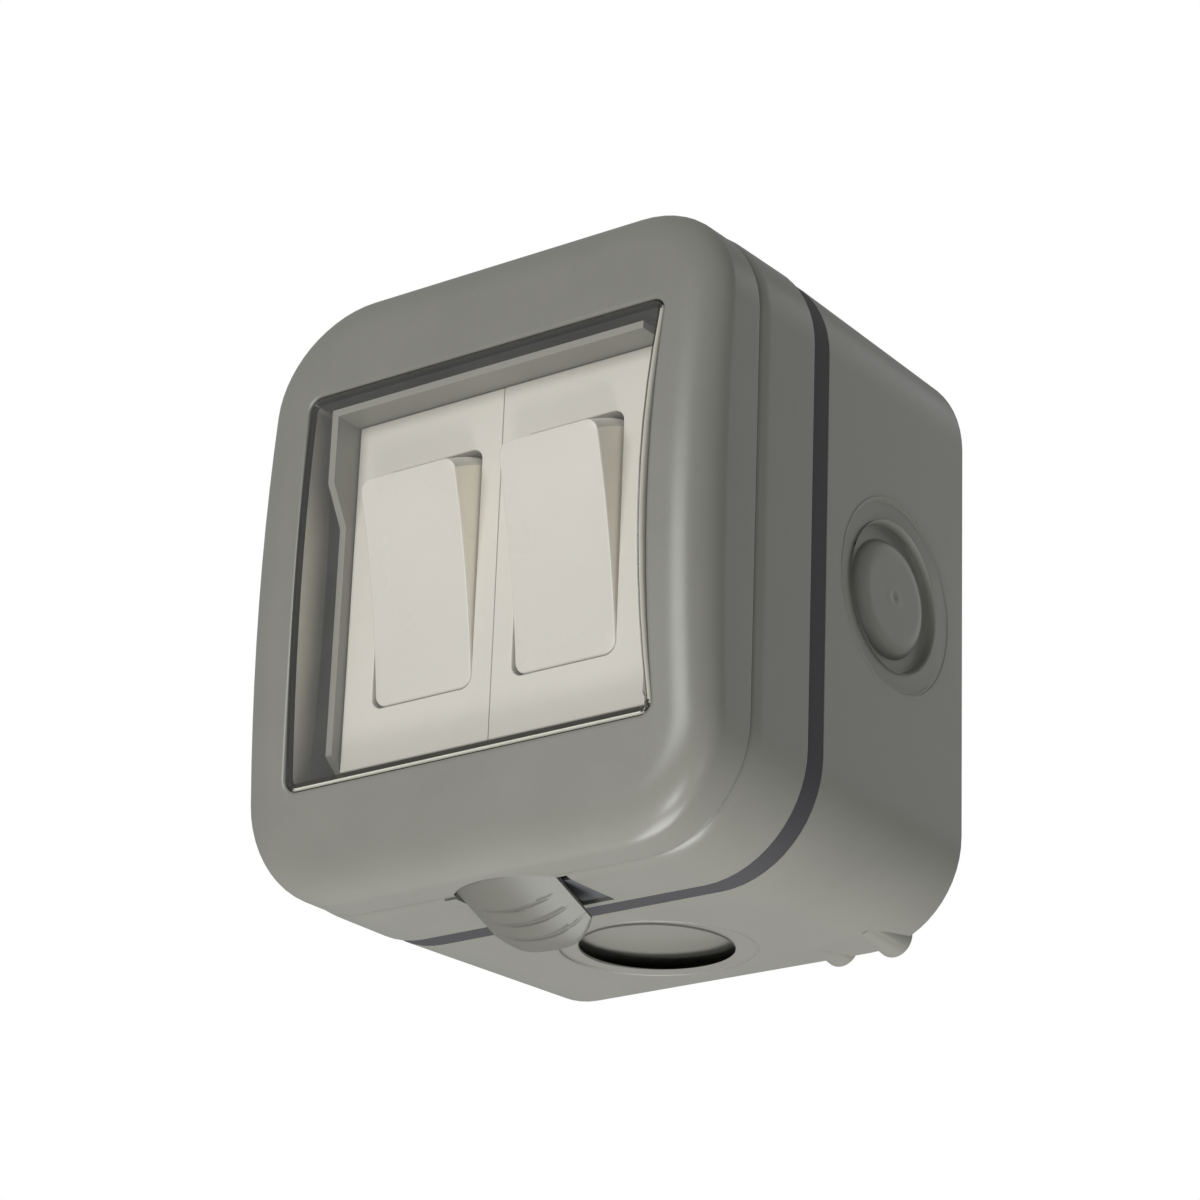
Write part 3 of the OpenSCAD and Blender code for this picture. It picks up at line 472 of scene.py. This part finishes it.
# Box gasket
# A band of black rubber in the joint between the box and the lid, nearly flush with both. A lip on it stands
# behind the notch of the lid.
lid_rear = -44.15
rubber_set = 0.06
rubber_width = 2.0
gasket = loft("gasket_band", [(box_outline(inset), y) for inset, y in (
    (rubber_set + 0.06, rim_station), (rubber_set, rim_station - 0.1), (rubber_set, lid_rear + 0.15),
    (rubber_set + 0.06, lid_rear + 0.05), (rubber_set + rubber_width, lid_rear + 0.05),
    (rubber_set + rubber_width, rim_station))], closed=True)
cut(gasket, [slab("notch_lip", (-10.6, lid_rear - 0.85, -47.5), (10.6, lid_rear + 0.1, -42.5))], "UNION")
soften(gasket, 0)
rubber = Finish("black_rubber")
rubber_speck = rubber.noise(0.5, 3, 0.6)
rubber.surface(Base_Color=rubber.mix(rubber_speck, tone(48, 48, 51), tone(62, 62, 66)),
               Roughness=rubber_speck * 0.15 + 0.6, Normal=rubber.bump(rubber_speck, 0.02))
gasket.data.materials.append(rubber.material)
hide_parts("box_gasket")
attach(gasket, "box")


# Lid
# One grey moulding: a skirt over the gasket, a fine shadow groove at the step, and a bezel with a deep
# rounded edge whose face is crowned from top to bottom. The window's upright sides bow inwards. Below it is
# open for the latch, with a notch that shows the bar behind. Two knuckles carry it on the hinge pin.
skirt_half = Vector((43.35, 49.35))
skirt_corner = 17.55
lid_wall = 2.4
step_station = -57.85
groove = 0.35
face_station = -70.65
face_crown = 4.0
edge_reach = 6.3
edge_drop = 5.4
window_half = Vector((33.8, 32.2))
window_corner = 2.4
window_bow = 1.1
seat_station = face_station + 4.5
bezel_station = step_station - groove
bezel_half_z = skirt_half.y - 0.2


def lid_outline(inset):
    return outline(skirt_half.x - inset, skirt_half.y - inset, skirt_corner - inset)


def window_outline(out):
    return outline(window_half.x + out, window_half.y + out, window_corner + out, window_bow)


def crowned(station):
    """Depth rule: the station in the middle, falling back towards the top and bottom of the lid."""
    share = (bezel_station - station) / (bezel_station - face_station)
    return lambda x, z: station + face_crown * share * (z / bezel_half_z) ** 2


def between(one, two, share):
    return [(a[0] + (b[0] - a[0]) * share, a[1] + (b[1] - a[1]) * share) for a, b in zip(one, two)]


edge_steps = 12
rings = [(lid_outline(inset), y) for inset, y in (
    (lid_wall, lid_rear - 0.3), (lid_wall - 0.3, lid_rear), (0.25, lid_rear), (0.07, lid_rear - 0.07),
    (0.0, lid_rear - 0.25), (0.0, step_station + 2.4), (0.03, step_station + 1.8), (0.09, step_station + 1.3),
    (0.19, step_station + 0.85), (0.33, step_station + 0.45), (0.5, step_station + 0.15), (0.7, step_station),
    (0.95, step_station), (0.95, bezel_station), (0.5, bezel_station), (0.27, bezel_station - 0.08),
    (0.2, bezel_station - 0.3))]
start_station = face_station + edge_drop
for i in range(edge_steps + 1):
    t = radians(90 * i / edge_steps)
    inset = edge_reach * (1 - cos(t))
    rings.append((lid_outline(0.2 + inset), crowned(start_station - edge_drop * sin(t))))
inner_edge = rings[-1][0]
window_edge = window_outline(0.55)
for share in (0.2, 0.4, 0.6, 0.8, 0.95):
    rings.append((between(inner_edge, window_edge, share), crowned(face_station)))
for out, back in ((0.55, 0.0), (0.3, 0.06), (0.1, 0.22), (0.0, 0.5)):
    rings.append((window_outline(out), lambda x, z, back=back: crowned(face_station)(x, z) + back))
rings += [(window_outline(0), seat_station), (outline(37.6, 41.2, 8), seat_station),
          (outline(37.6, 41.2, 8), face_station + 7.2), (lid_outline(lid_wall), face_station + 7.2)]
lid = loft("lid_shell", rings, closed=True)


def latch_prism(name, grow, low, high):
    """Prism on the latch's footprint: a wide front arc between straight sides."""
    mesh = bmesh.new()
    bmesh.ops.create_circle(mesh, segments=160, radius=(11.9 + grow) * MM, cap_ends=True)
    bmesh.ops.translate(mesh, verts=mesh.verts, vec=Vector((0, latch_front + 11.9, low)) * MM)
    for side in (-1, 1):
        bmesh.ops.bisect_plane(mesh, geom=mesh.verts[:] + mesh.edges[:] + mesh.faces[:],
                               plane_co=(side * (latch_half + grow) * MM, 0, 0), plane_no=(side, 0, 0),
                               clear_outer=True)
    bmesh.ops.bisect_plane(mesh, geom=mesh.verts[:] + mesh.edges[:] + mesh.faces[:],
                           plane_co=(0, (step_station + 2) * MM, 0), plane_no=(0, 1, 0), clear_outer=True)
    flat = bmesh.ops.extrude_face_region(mesh, geom=mesh.faces[:])["geom"]
    bmesh.ops.translate(mesh, verts=[g for g in flat if isinstance(g, bmesh.types.BMVert)],
                        vec=(0, 0, (high - low) * MM))
    return finished(name, mesh)


latch_front = step_station - 3.9
latch_half = 8.8
latch_axis = (step_station + 0.05, -45.9)
bottom = -skirt_half.y
boss_place = (28, 38.6)
lug = latch_half + 0.5
added = [hinge_arm("lid_knuckle", *sorted((s * (box_knuckle + 0.3), s * (box_knuckle + 8.3))),
                   (lid_rear - 8, lid_rear - 0.6, foot_height)) for s in (-1, 1)]
added += [rod("frame_boss", "y", (sx * boss_place[0], sz * boss_place[1]), 3, seat_station - 0.5, seat_station + 1.2)
          for sx, sz in sides]
added += [slab("latch_lug", (min(s * lug, s * (lug + 2.8)), latch_axis[0] - 2.6, bottom + 1.5),
               (max(s * lug, s * (lug + 2.8)), latch_axis[0] + 2.3, latch_axis[1] + 2.6)) for s in (-1, 1)]
cut(lid, added, "UNION")
notch_half = latch_half + 2.2
removed = [slab("notch_run", (-notch_half, step_station + 0.5, bottom - 1),
                (notch_half, step_station + 2, bottom + 1.2)),
           latch_prism("latch_mouth", 0.4, bottom - 1, bottom + 0.65),
           latch_prism("latch_pocket", 1.5, bottom + 0.6, bottom + 3.7),
           slab("notch", (-notch_half, step_station + 1.8, bottom - 1), (notch_half, lid_rear - 1.5, bottom + 3.4)),
           slab("bar_relief", (-notch_half, lid_rear - 2, bottom + 1.4), (notch_half, lid_rear + 1, bottom + 3.4)),
           rod("latch_bore", "x", latch_axis, 1.05, -14, 14)]
removed += [rod("boss_bore", "y", (sx * boss_place[0], sz * boss_place[1]), 1.15, seat_station - 1, seat_station + 2)
            for sx, sz in sides]
removed += [rod("knuckle_bore", "x", hinge_axis, hinge_bore, *sorted((s * box_knuckle, s * 30))) for s in (-1, 1)]
cut(lid, removed)
# A thin floor beside the latch in the notch carries painted shade, standing in for the shadow under the latch.
cut(lid, [slab("notch_shade_floor", (min(s * 5.3, s * (notch_half + 0.2)), step_station + 2.9, bottom + 0.6),
               (max(s * 5.3, s * (notch_half + 0.2)), lid_rear - 1.3, bottom + 1.05)) for s in (-1, 1)], "UNION")
cut(lid, [slab("notch_fill", (-notch_half - 0.2, step_station + 0.4, bottom + 0.01),
               (-latch_half - 0.35, lid_rear - 1.3, bottom + 1.1))], "UNION")
soften(lid, 0)
lid_plastic = moulded("lid_plastic", tone(*grey), gloss=0.31)
lid.data.materials.append(lid_plastic)
# Dark slate finish of that floor: painted shade, not rubber.
notch_shade = Finish("notch_painted_shade")
notch_shade_cloud = notch_shade.noise(0.5, 3, 0.6)
notch_shade.surface(Base_Color=notch_shade.mix(notch_shade_cloud, tone(70, 72, 75), tone(80, 82, 85)), Roughness=0.6,
              Normal=notch_shade.bump(notch_shade_cloud, 0.02))
lid.data.materials.append(notch_shade.material)
for face in lid.data.polygons:
    x, y, z = face.center / MM
    if (-latch_half - 0.3 < x < -5.2 or 5.2 < x < notch_half + 0.01) and step_station + 2.8 < y < lid_rear - 1.4 and bottom + 0.3 < z < bottom + 1.3:
        face.material_index = 1
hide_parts("lid")
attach(lid, "lid")


# Window membrane
# A clear soft moulding with a flange behind the lid face. Its front stands a little proud of the lid, with a
# rounded rim painted dark as painted shade where it bends the light, and its outer wall painted pale as a painted
# highlight. Painted shade also darkens the top inner wall, and the left inner wall carries painted light that turns
# to painted shade deeper in.
membrane_gap = 0.08
membrane_skin = 1.0
membrane_bulge = 0.9


def bulged(back):
    fall = face_crown * (window_half.y / bezel_half_z) ** 2 + membrane_bulge - 0.1
    return lambda x, z: face_station - membrane_bulge + back + fall * (z / window_half.y) ** 2


flange = outline(window_half.x + 3, window_half.y + 3, 4)
rings = [(window_outline(-membrane_gap - membrane_skin), seat_station + 1.15), (flange, seat_station + 1.15),
         (flange, seat_station + 0.02), (window_outline(-membrane_gap), seat_station + 0.02)]
rings += [(window_outline(-membrane_gap - inset), bulged(back)) for inset, back in (
    (0.0, 0.75), (0.05, 0.5), (0.18, 0.28), (0.38, 0.12), (0.65, 0.03), (1.0, 0.0))]
clear_edge = window_outline(-membrane_gap - 1.0)
clear_core = outline(3, 2.8, 0.5)
rings += [(between(clear_edge, clear_core, share), bulged(0.0)) for share in (0.2, 0.4, 0.6, 0.8, 1.0)]
front = loft("front_skin", rings[:4] + rings[4:])
membrane = front
rear_edge = window_outline(-membrane_gap - membrane_skin)
hollow = loft("hollow", [(rear_edge, seat_station + 2)] + [(between(rear_edge, clear_core, share), bulged(membrane_skin))
                                                          for share in (0.0, 0.2, 0.4, 0.6, 0.8, 1.0)])
cut(membrane, [hollow])
soften(membrane, 0, smooth=40)
clear = Finish("clear_membrane")
front_side = 1 - clear.wire("ShaderNodeNewGeometry", out="Backfacing")
glance = clear.wire("ShaderNodeFresnel", IOR=1.42) * front_side
haze = clear.noise(9, 3, 0.6)
see_through = clear.add("ShaderNodeBsdfTransparent", Color=(0.975, 0.972, 0.968, 1))
gloss = clear.add("ShaderNodeBsdfPrincipled", Base_Color=(0.75, 0.76, 0.74, 1), Roughness=0.12)
share = (glance * 0.9 + haze * 0.02 + 0.015).clamp()
pair = clear.add("ShaderNodeMixShader", _0=share)
clear.tree.links.new(see_through.outputs[0], pair.inputs[1])
clear.tree.links.new(gloss.outputs[0], pair.inputs[2])
clear.tree.links.new(pair.outputs[0], clear.output.inputs[0])
membrane.data.materials.append(clear.material)
# Dark rim finish: painted shade, for the dark line where the rounded rim bends the light and for the shade on the top
# inner wall.
rim = Finish("membrane_rim_painted_shade")
rim_cloud = rim.noise(4, 2, 0.5)
rim_clear = rim.add("ShaderNodeBsdfTransparent", Color=(0.5, 0.49, 0.46, 1))
rim_gloss = rim.add("ShaderNodeBsdfPrincipled", Base_Color=rim.mix(rim_cloud, tone(58, 58, 54), tone(74, 73, 68)),
                    Roughness=0.14)
rim_pair = rim.add("ShaderNodeMixShader", _0=rim_cloud * 0.1 + 0.6)
rim.tree.links.new(rim_clear.outputs[0], rim_pair.inputs[1])
rim.tree.links.new(rim_gloss.outputs[0], rim_pair.inputs[2])
rim.tree.links.new(rim_pair.outputs[0], rim.output.inputs[0])
membrane.data.materials.append(rim.material)
# Pale edge finish: a painted highlight on the proud outer wall of the rim.
pale = Finish("membrane_edge_painted_highlight")
pale_cloud = pale.noise(4, 2, 0.5)
pale.surface(Base_Color=pale.mix(pale_cloud, tone(186, 184, 173), tone(200, 198, 187)), Roughness=0.2)
membrane.data.materials.append(pale.material)
# Left inner wall finish: painted light on the wall near the front, turning to painted shade deeper in the window.
wall_painted_light = Finish("membrane_wall_painted_light")
wall_painted_light_place = wall_painted_light.wire("ShaderNodeSeparateXYZ", out=1, Vector=wall_painted_light.place())
depth = ((wall_painted_light_place / MM - face_station) * 0.2).clamp()
wall_painted_light_clear = wall_painted_light.add("ShaderNodeBsdfTransparent", Color=(0.6, 0.59, 0.56, 1))
wall_painted_light_gloss = wall_painted_light.add("ShaderNodeBsdfPrincipled", Roughness=0.3,
                        Base_Color=wall_painted_light.mix(depth, tone(206, 201, 186), tone(120, 119, 111)))
wall_painted_light_pair = wall_painted_light.add("ShaderNodeMixShader", _0=wall_painted_light.noise(6, 2) * 0.05 + 0.85)
wall_painted_light.tree.links.new(wall_painted_light_clear.outputs[0], wall_painted_light_pair.inputs[1])
wall_painted_light.tree.links.new(wall_painted_light_gloss.outputs[0], wall_painted_light_pair.inputs[2])
wall_painted_light.tree.links.new(wall_painted_light_pair.outputs[0], wall_painted_light.output.inputs[0])
membrane.data.materials.append(wall_painted_light.material)
# Slot 1 puts painted shade on the rim and the top inner wall, slot 2 a painted highlight on the outer wall of the rim,
# slot 3 painted light and shade on the left inner wall.
for face in membrane.data.polygons:
    x, y, z = face.center / MM
    side = window_half.x - window_bow * (1 - (z / window_half.y) ** 2) - membrane_gap
    inside = min(side - abs(x), window_half.y - membrane_gap - abs(z))
    flat = abs(face.normal.y) < 0.3
    left = x < 0 and side - abs(x) < window_half.y - membrane_gap - abs(z)
    right = x > 0 and side - abs(x) < window_half.y - membrane_gap - abs(z)
    low = z < 0 and not left and not right
    if inside > membrane_skin + 0.3 or (y > seat_station - 0.1 and not (flat and inside > 0.5)):
        continue
    if flat and inside > 0.5:
        face.material_index = 3 if left else 1 if z > window_half.y - 2 else 0
    elif right:
        face.material_index = 2 if inside < 0.34 else 1 if inside < 0.66 else 0
    elif low:
        face.material_index = 2 if 0.1 < inside < 0.34 else 1 if inside < 0.9 else 0
    elif left:
        face.material_index = 1 if inside < 1.0 else 0
    elif inside < 0.75:
        face.material_index = 2 if inside < 0.2 and flat and y < bulged(0.9)(x, z) else 1
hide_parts("window_membrane")
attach(membrane, "lid")


# Latch
# A grey finger latch on a pin in the lid: a sloped plate with a rounded back, three cross grooves for the
# finger, a rounded tip, and a hook that snaps behind the catch of the box.
slope = radians(23.2)
back_radius = 20.0
front_radius = 11.9
tip_radius = 14.5
tip_station = -45.3
tip_low = -55.3
plate_rise = 2.7


def latch_section(x):
    """Side view of the latch at a distance from its middle: crowned back, rounded tip, flat inner side."""
    crown = (back_radius - sqrt(back_radius ** 2 - x ** 2)) / cos(slope)
    start = latch_front + front_radius - sqrt(front_radius ** 2 - x ** 2)
    end = tip_station - tip_radius + sqrt(tip_radius ** 2 - x ** 2)

    def flat(y):
        return bottom + 0.35 - (y - latch_front) * tan(slope)

    def back(y):
        half = (flat(y) + crown - tip_low) / 2
        return tip_low + half + sqrt(half ** 2 + 0.06)

    points = [(start + (end - start) * i / 24, back(start + (end - start) * i / 24)) for i in range(25)]
    nose = min(0.55, (plate_rise - crown) * 0.45)
    points += [(end + nose * sin(pi * i / 8), back(end) + nose * (1 - cos(pi * i / 8))) for i in range(1, 9)]
    points += [(end - 0.01, flat(end) + plate_rise), (latch_axis[0] + 3, flat(latch_axis[0] + 3) + plate_rise),
               (start + 0.9, back(start) + 0.95)]
    return [(-y, z) for y, z in points]


stations = [latch_half * sin(pi / 2 * i / 20) for i in range(-20, 21)]
latch = loft("latch_plate", [(latch_section(x), x) for x in stations])
latch.data.transform(Matrix.Rotation(-pi / 2, 4, "Z"))
soften(latch, 0.18, 2, 40)
added = [rod("pivot_boss", "x", latch_axis, 2.3, -latch_half + 0.8, latch_half - 0.8),
         slab("web", (-4.6, latch_axis[0] - 1.2, bottom + 0.5), (4.6, latch_axis[0] + 2.2, latch_axis[1])),
         slab("hook", (-4.6, rim_station - 7.1, bottom - 3.9), (4.6, rim_station - 6.15, -47.65))]
cut(latch, added, "UNION")
removed = [rod("latch_pin_bore", "x", latch_axis, 1.05, -latch_half, latch_half)]
for i in range(3):
    lean_back = radians(8 * i)
    follow = back_radius * cos(slope + lean_back)
    ring_radius = 1 / (1 / follow - 0.0098)
    y = latch_front + 6.6 + 3.1 * i
    mesh = bmesh.new()
    wire = bmesh.ops.create_circle(mesh, segments=12, radius=0.38 * MM)["verts"]
    bmesh.ops.rotate(mesh, verts=wire, matrix=Matrix.Rotation(pi / 2, 3, "Y"))
    bmesh.ops.translate(mesh, verts=wire, vec=Vector((0, 0, -ring_radius)) * MM)
    bmesh.ops.spin(mesh, geom=mesh.verts[:] + mesh.edges[:], cent=(0, 0, 0), axis=(0, 1, 0), angle=2 * pi,
                   steps=128, use_merge=True)
    bmesh.ops.translate(mesh, verts=mesh.verts, vec=Vector((0, 0, ring_radius - 0.14)) * MM)
    bmesh.ops.rotate(mesh, verts=mesh.verts, matrix=Matrix.Rotation(lean_back, 3, "X"))
    bmesh.ops.translate(mesh, verts=mesh.verts,
                        vec=Vector((0, y, bottom + 0.35 - (y - latch_front) * tan(slope))) * MM)
    removed.append(finished("grip_groove", mesh))
cut(latch, removed)
soften(latch, 0)
# The latch's grey is a darker copy of the box grey: painted shade for the light from below that it misses.
latch_plastic = moulded("latch_plastic", tone(99, 99, 92), gloss=0.4)
latch.data.materials.append(latch_plastic)
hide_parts("latch")
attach(latch, "latch")


# Carrier and membrane frame
# Grey mouldings behind the window. The carrier holds both modules between cheeks that step down beside the
# lower halves of the rockers, and is screwed to the posts of the box. The frame clamps the membrane.
def softened_copy(node, width_mm, name):
    """A copy of a CAD piece with its facets merged and its edges rounded."""
    mesh = bmesh.new()
    mesh.from_mesh(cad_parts[node].data)
    bmesh.ops.remove_doubles(mesh, verts=mesh.verts, dist=0.002 * MM)
    bmesh.ops.dissolve_limit(mesh, angle_limit=radians(0.5), verts=mesh.verts, edges=mesh.edges)
    data = bpy.data.meshes.new(name)
    mesh.to_mesh(data)
    mesh.free()
    piece = bpy.data.objects.new(name, data)
    bpy.context.scene.collection.objects.link(piece)
    soften(piece, width_mm)
    return piece


for node, body, slot, width in (("carrier", "box", "carrier_grey", 0.3),
                                ("membrane_frame", "lid", "frame_grey", 0.25)):
    piece = softened_copy(node, width, node + "_moulding")
    # Their grey is a lighter copy of the lid's grey: painted light, for the light from below on their walls.
    piece.data.materials.append(moulded(node + "_plastic", tone(136, 135, 126), gloss=0.42))
    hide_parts(node)
    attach(piece, body)


# Module fronts
# White glossy mouldings side by side: a flat plate with a deep opening with rounded corners that the rocker
# tips in.
plate_station = face_station + 7.5
ledge_station = plate_station + 11.1
module_half = (28.15, 28.2)
module_wall = 1.8
rocker_side = 13.2
well_half = (9.45, 19.2)


def bar(name, low, high, radius, steps=8):
    """Block whose four edges along the depth are rounded."""
    mesh = bmesh.new()
    bmesh.ops.create_cube(mesh, size=1)
    low, high = Vector(low), Vector(high)
    for vert in mesh.verts:
        vert.co = Vector([(low[i] + high[i]) / 2 + vert.co[i] * (high[i] - low[i]) for i in range(3)]) * MM
    edges = [e for e in mesh.edges if abs(e.verts[1].co.y - e.verts[0].co.y) > e.calc_length() * 0.99]
    bmesh.ops.bevel(mesh, geom=edges, offset=radius * MM, segments=steps, profile=0.5, affect="EDGES", material=-1)
    return finished(name, mesh)


white = (215, 212, 203)
module_white = Finish("module_white")
cloud = module_white.noise(18, 2, 0.5)
module_white.surface(Base_Color=module_white.mix(cloud, tone(*[v - 3 for v in white]), tone(*[v + 3 for v in white])),
                     Roughness=cloud * 0.08 + 0.26,
                     Normal=module_white.bump(module_white.noise(6, 2), 0.003))
for s, name in ((-1, "left"), (1, "right")):
    low_x, high_x = sorted((s * 0.05, s * module_half[0]))
    centre = s * rocker_side
    plate = slab("module_plate_" + name, (low_x, plate_station, -module_half[1]),
                 (high_x, ledge_station, module_half[1]))
    cut(plate, [slab("plate_inside", (low_x + 1.2, plate_station + module_wall, -module_half[1] + module_wall),
                     (high_x - 1.2, ledge_station + 2, module_half[1] - module_wall))])
    cut(plate, [slab("well_wall", (centre - well_half[0] - 1.6, plate_station + 0.9, -well_half[1] - 1.6),
                     (centre + well_half[0] + 1.6, ledge_station, well_half[1] + 1.6))], "UNION")
    cut(plate, [bar("well", (centre - well_half[0], plate_station - 1, -well_half[1]),
                    (centre + well_half[0], ledge_station + 1, well_half[1]), 1.9),
                rod("pivot_bore", "x", (plate_station + 5.4, 0), 1.65, centre - well_half[0] - 1.5,
                    centre + well_half[0] + 1.5)])
    soften(plate, 0.22, 3)
    plate.data.materials.append(module_white.material)
    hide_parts("module_front_" + name)
    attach(plate, "box")


# Rockers
# White glossy rockers with a dished face, tops proud. The ends slope by the tilt and then run round the pivot, so
# each stays close to its opening as it tips. Two stub pins carry it and a guide tube holds its plunger.
pivot_station = plate_station + 5.4
rocker_tilt = radians(11.3)
rocker_half = (9.15, 17.6)
rocker_rise = 8.4
rocker_dish = 0.85
end_reach = 18.9
rocker_white = Finish("rocker_white")
cloud = rocker_white.noise(12, 2, 0.5)
across = rocker_white.wire("ShaderNodeSeparateXYZ", Vector=rocker_white.place()).maths("ABSOLUTE")
# The flanks are painted a lighter cream than the face: painted light, standing in for the light bounced onto the
# rocker's sides.
flank_painted_light = (across - rocker_side * MM).maths("ABSOLUTE") > (rocker_half[0] - 0.04) * MM
face_tint = rocker_white.mix(cloud, tone(210, 207, 198), tone(214, 211, 203))
rocker_white.surface(Base_Color=rocker_white.mix(flank_painted_light, face_tint, tone(249, 244, 228)),
                     Roughness=cloud * 0.08 + 0.24,
                     Normal=rocker_white.bump(rocker_white.noise(5, 2), 0.003))


def dished(back):
    return lambda x, z: -rocker_rise + back + rocker_dish * (1 - (z / rocker_half[1]) ** 2)


def stand_rocker(piece, s):
    turn = Matrix.Rotation(rocker_tilt, 4, "X")
    piece.data.transform(Matrix.Translation(Vector((s * rocker_side, pivot_station, 0)) * MM) @ turn)


for s, name in ((-1, "left"), (1, "right")):
    w, a = rocker_half
    rings = [(outline(w, 4, 1.5), 2.6), (outline(w, a - 3.5, 1.5), 0.9)]
    rings += [(outline(w, end_reach * cos(t), 2.0), -end_reach * sin(t)) for t in (
        radians(1), radians(4), radians(8), rocker_tilt)]
    rings += [(outline(w - inset, a - inset, 2.0 - inset), dished(back)) for inset, back in (
        (0, 0.35), (0.03, 0.2), (0.09, 0.08), (0.18, 0.02), (0.3, 0))]
    face = outline(w - 0.3, a - 0.3, 1.7)
    core = outline(0.6, 1.2, 0.1)
    rings += [(between(face, core, share), dished(0)) for share in (0.15, 0.3, 0.45, 0.6, 0.75, 0.9, 1.0)]
    rocker = loft("rocker_face_" + name, rings)
    hollow = slab("rocker_hollow", (-w + 1.5, -rocker_rise + rocker_dish + 2, -a + 1.9), (w - 1.5, 4, a - 1.9))
    cut(hollow, [rod("boss_core", "y", (0, 0), 3.4, -rocker_rise, 5),
                 slab("axle_web", (-w, -1.9, -1.9), (w, 1.9, 1.9))])
    cut(rocker, [hollow])
    cut(rocker, [rod("guide_tube", "y", (0, 0), 3.4, 2, 7.4),
                 rod("stub_pins", "x", (0, 0), 1.6, -w - 1.6, w + 1.6)], "UNION")
    cut(rocker, [rod("plunger_bore", "y", (0, 0), 2.0, -3.6, 8)])
    soften(rocker, 0)
    stand_rocker(rocker, s)
    rocker.data.materials.append(rocker_white.material)
    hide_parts("rocker_" + name)
    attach(rocker, "rocker_" + name)


# Metal and inner pieces
# Zinc-plated screws and pins, brass terminals, copper contact strips, nylon plungers, spring wire and the dark
# moulded bases keep the shapes of the construction and get their own finishes.
def metal(name, dark, light, rough, lines_mm=0.12):
    finish = Finish(name)
    streak = finish.noise(lines_mm, 2, 0.6)
    patch = finish.noise(2.5, 3, 0.6)
    finish.surface(Base_Color=finish.mix(patch, tone(*dark), tone(*light)), Metallic=1.0,
                   Roughness=streak * 0.12 + (rough - 0.06), Normal=finish.bump(streak, 0.006))
    return finish.material


def inner_plastic(name, colour, rough):
    finish = Finish(name)
    cloud = finish.noise(6, 3, 0.6)
    finish.surface(Base_Color=finish.mix(cloud, tone(*[v - 6 for v in colour]), tone(*[v + 6 for v in colour])),
                   Roughness=cloud * 0.15 + (rough - 0.07), Normal=finish.bump(finish.noise(0.3, 2), 0.008))
    return finish.material


zinc = metal("zinc_plate", (170, 172, 170), (205, 205, 200), 0.32)
brass = metal("brass_block", (190, 150, 80), (222, 184, 110), 0.30)
finishes = {"frame_screws": zinc, "hinge_pin": zinc, "latch_pin": zinc, "carrier_screws": zinc, "earth_screw": zinc,
            "earth_terminal": brass}
copper = metal("copper_strip", (176, 106, 70), (214, 146, 104), 0.28)
spring_wire = metal("spring_wire", (120, 120, 120), (160, 160, 160), 0.25)
nylon = inner_plastic("plunger_nylon", (206, 200, 184), 0.4)
dark_base = inner_plastic("dark_base", (70, 71, 74), 0.5)
for name in ("left", "right"):
    finishes.update({"terminal_screws_" + name: zinc, "common_terminal_" + name: brass, "way_terminals_" + name: brass,
                     "moving_contact_" + name: copper, "plunger_spring_" + name: spring_wire,
                     "plunger_" + name: nylon, "module_base_" + name: dark_base})
for node, material in finishes.items():
    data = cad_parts[node].data
    data.materials.clear()
    data.materials.append(material)
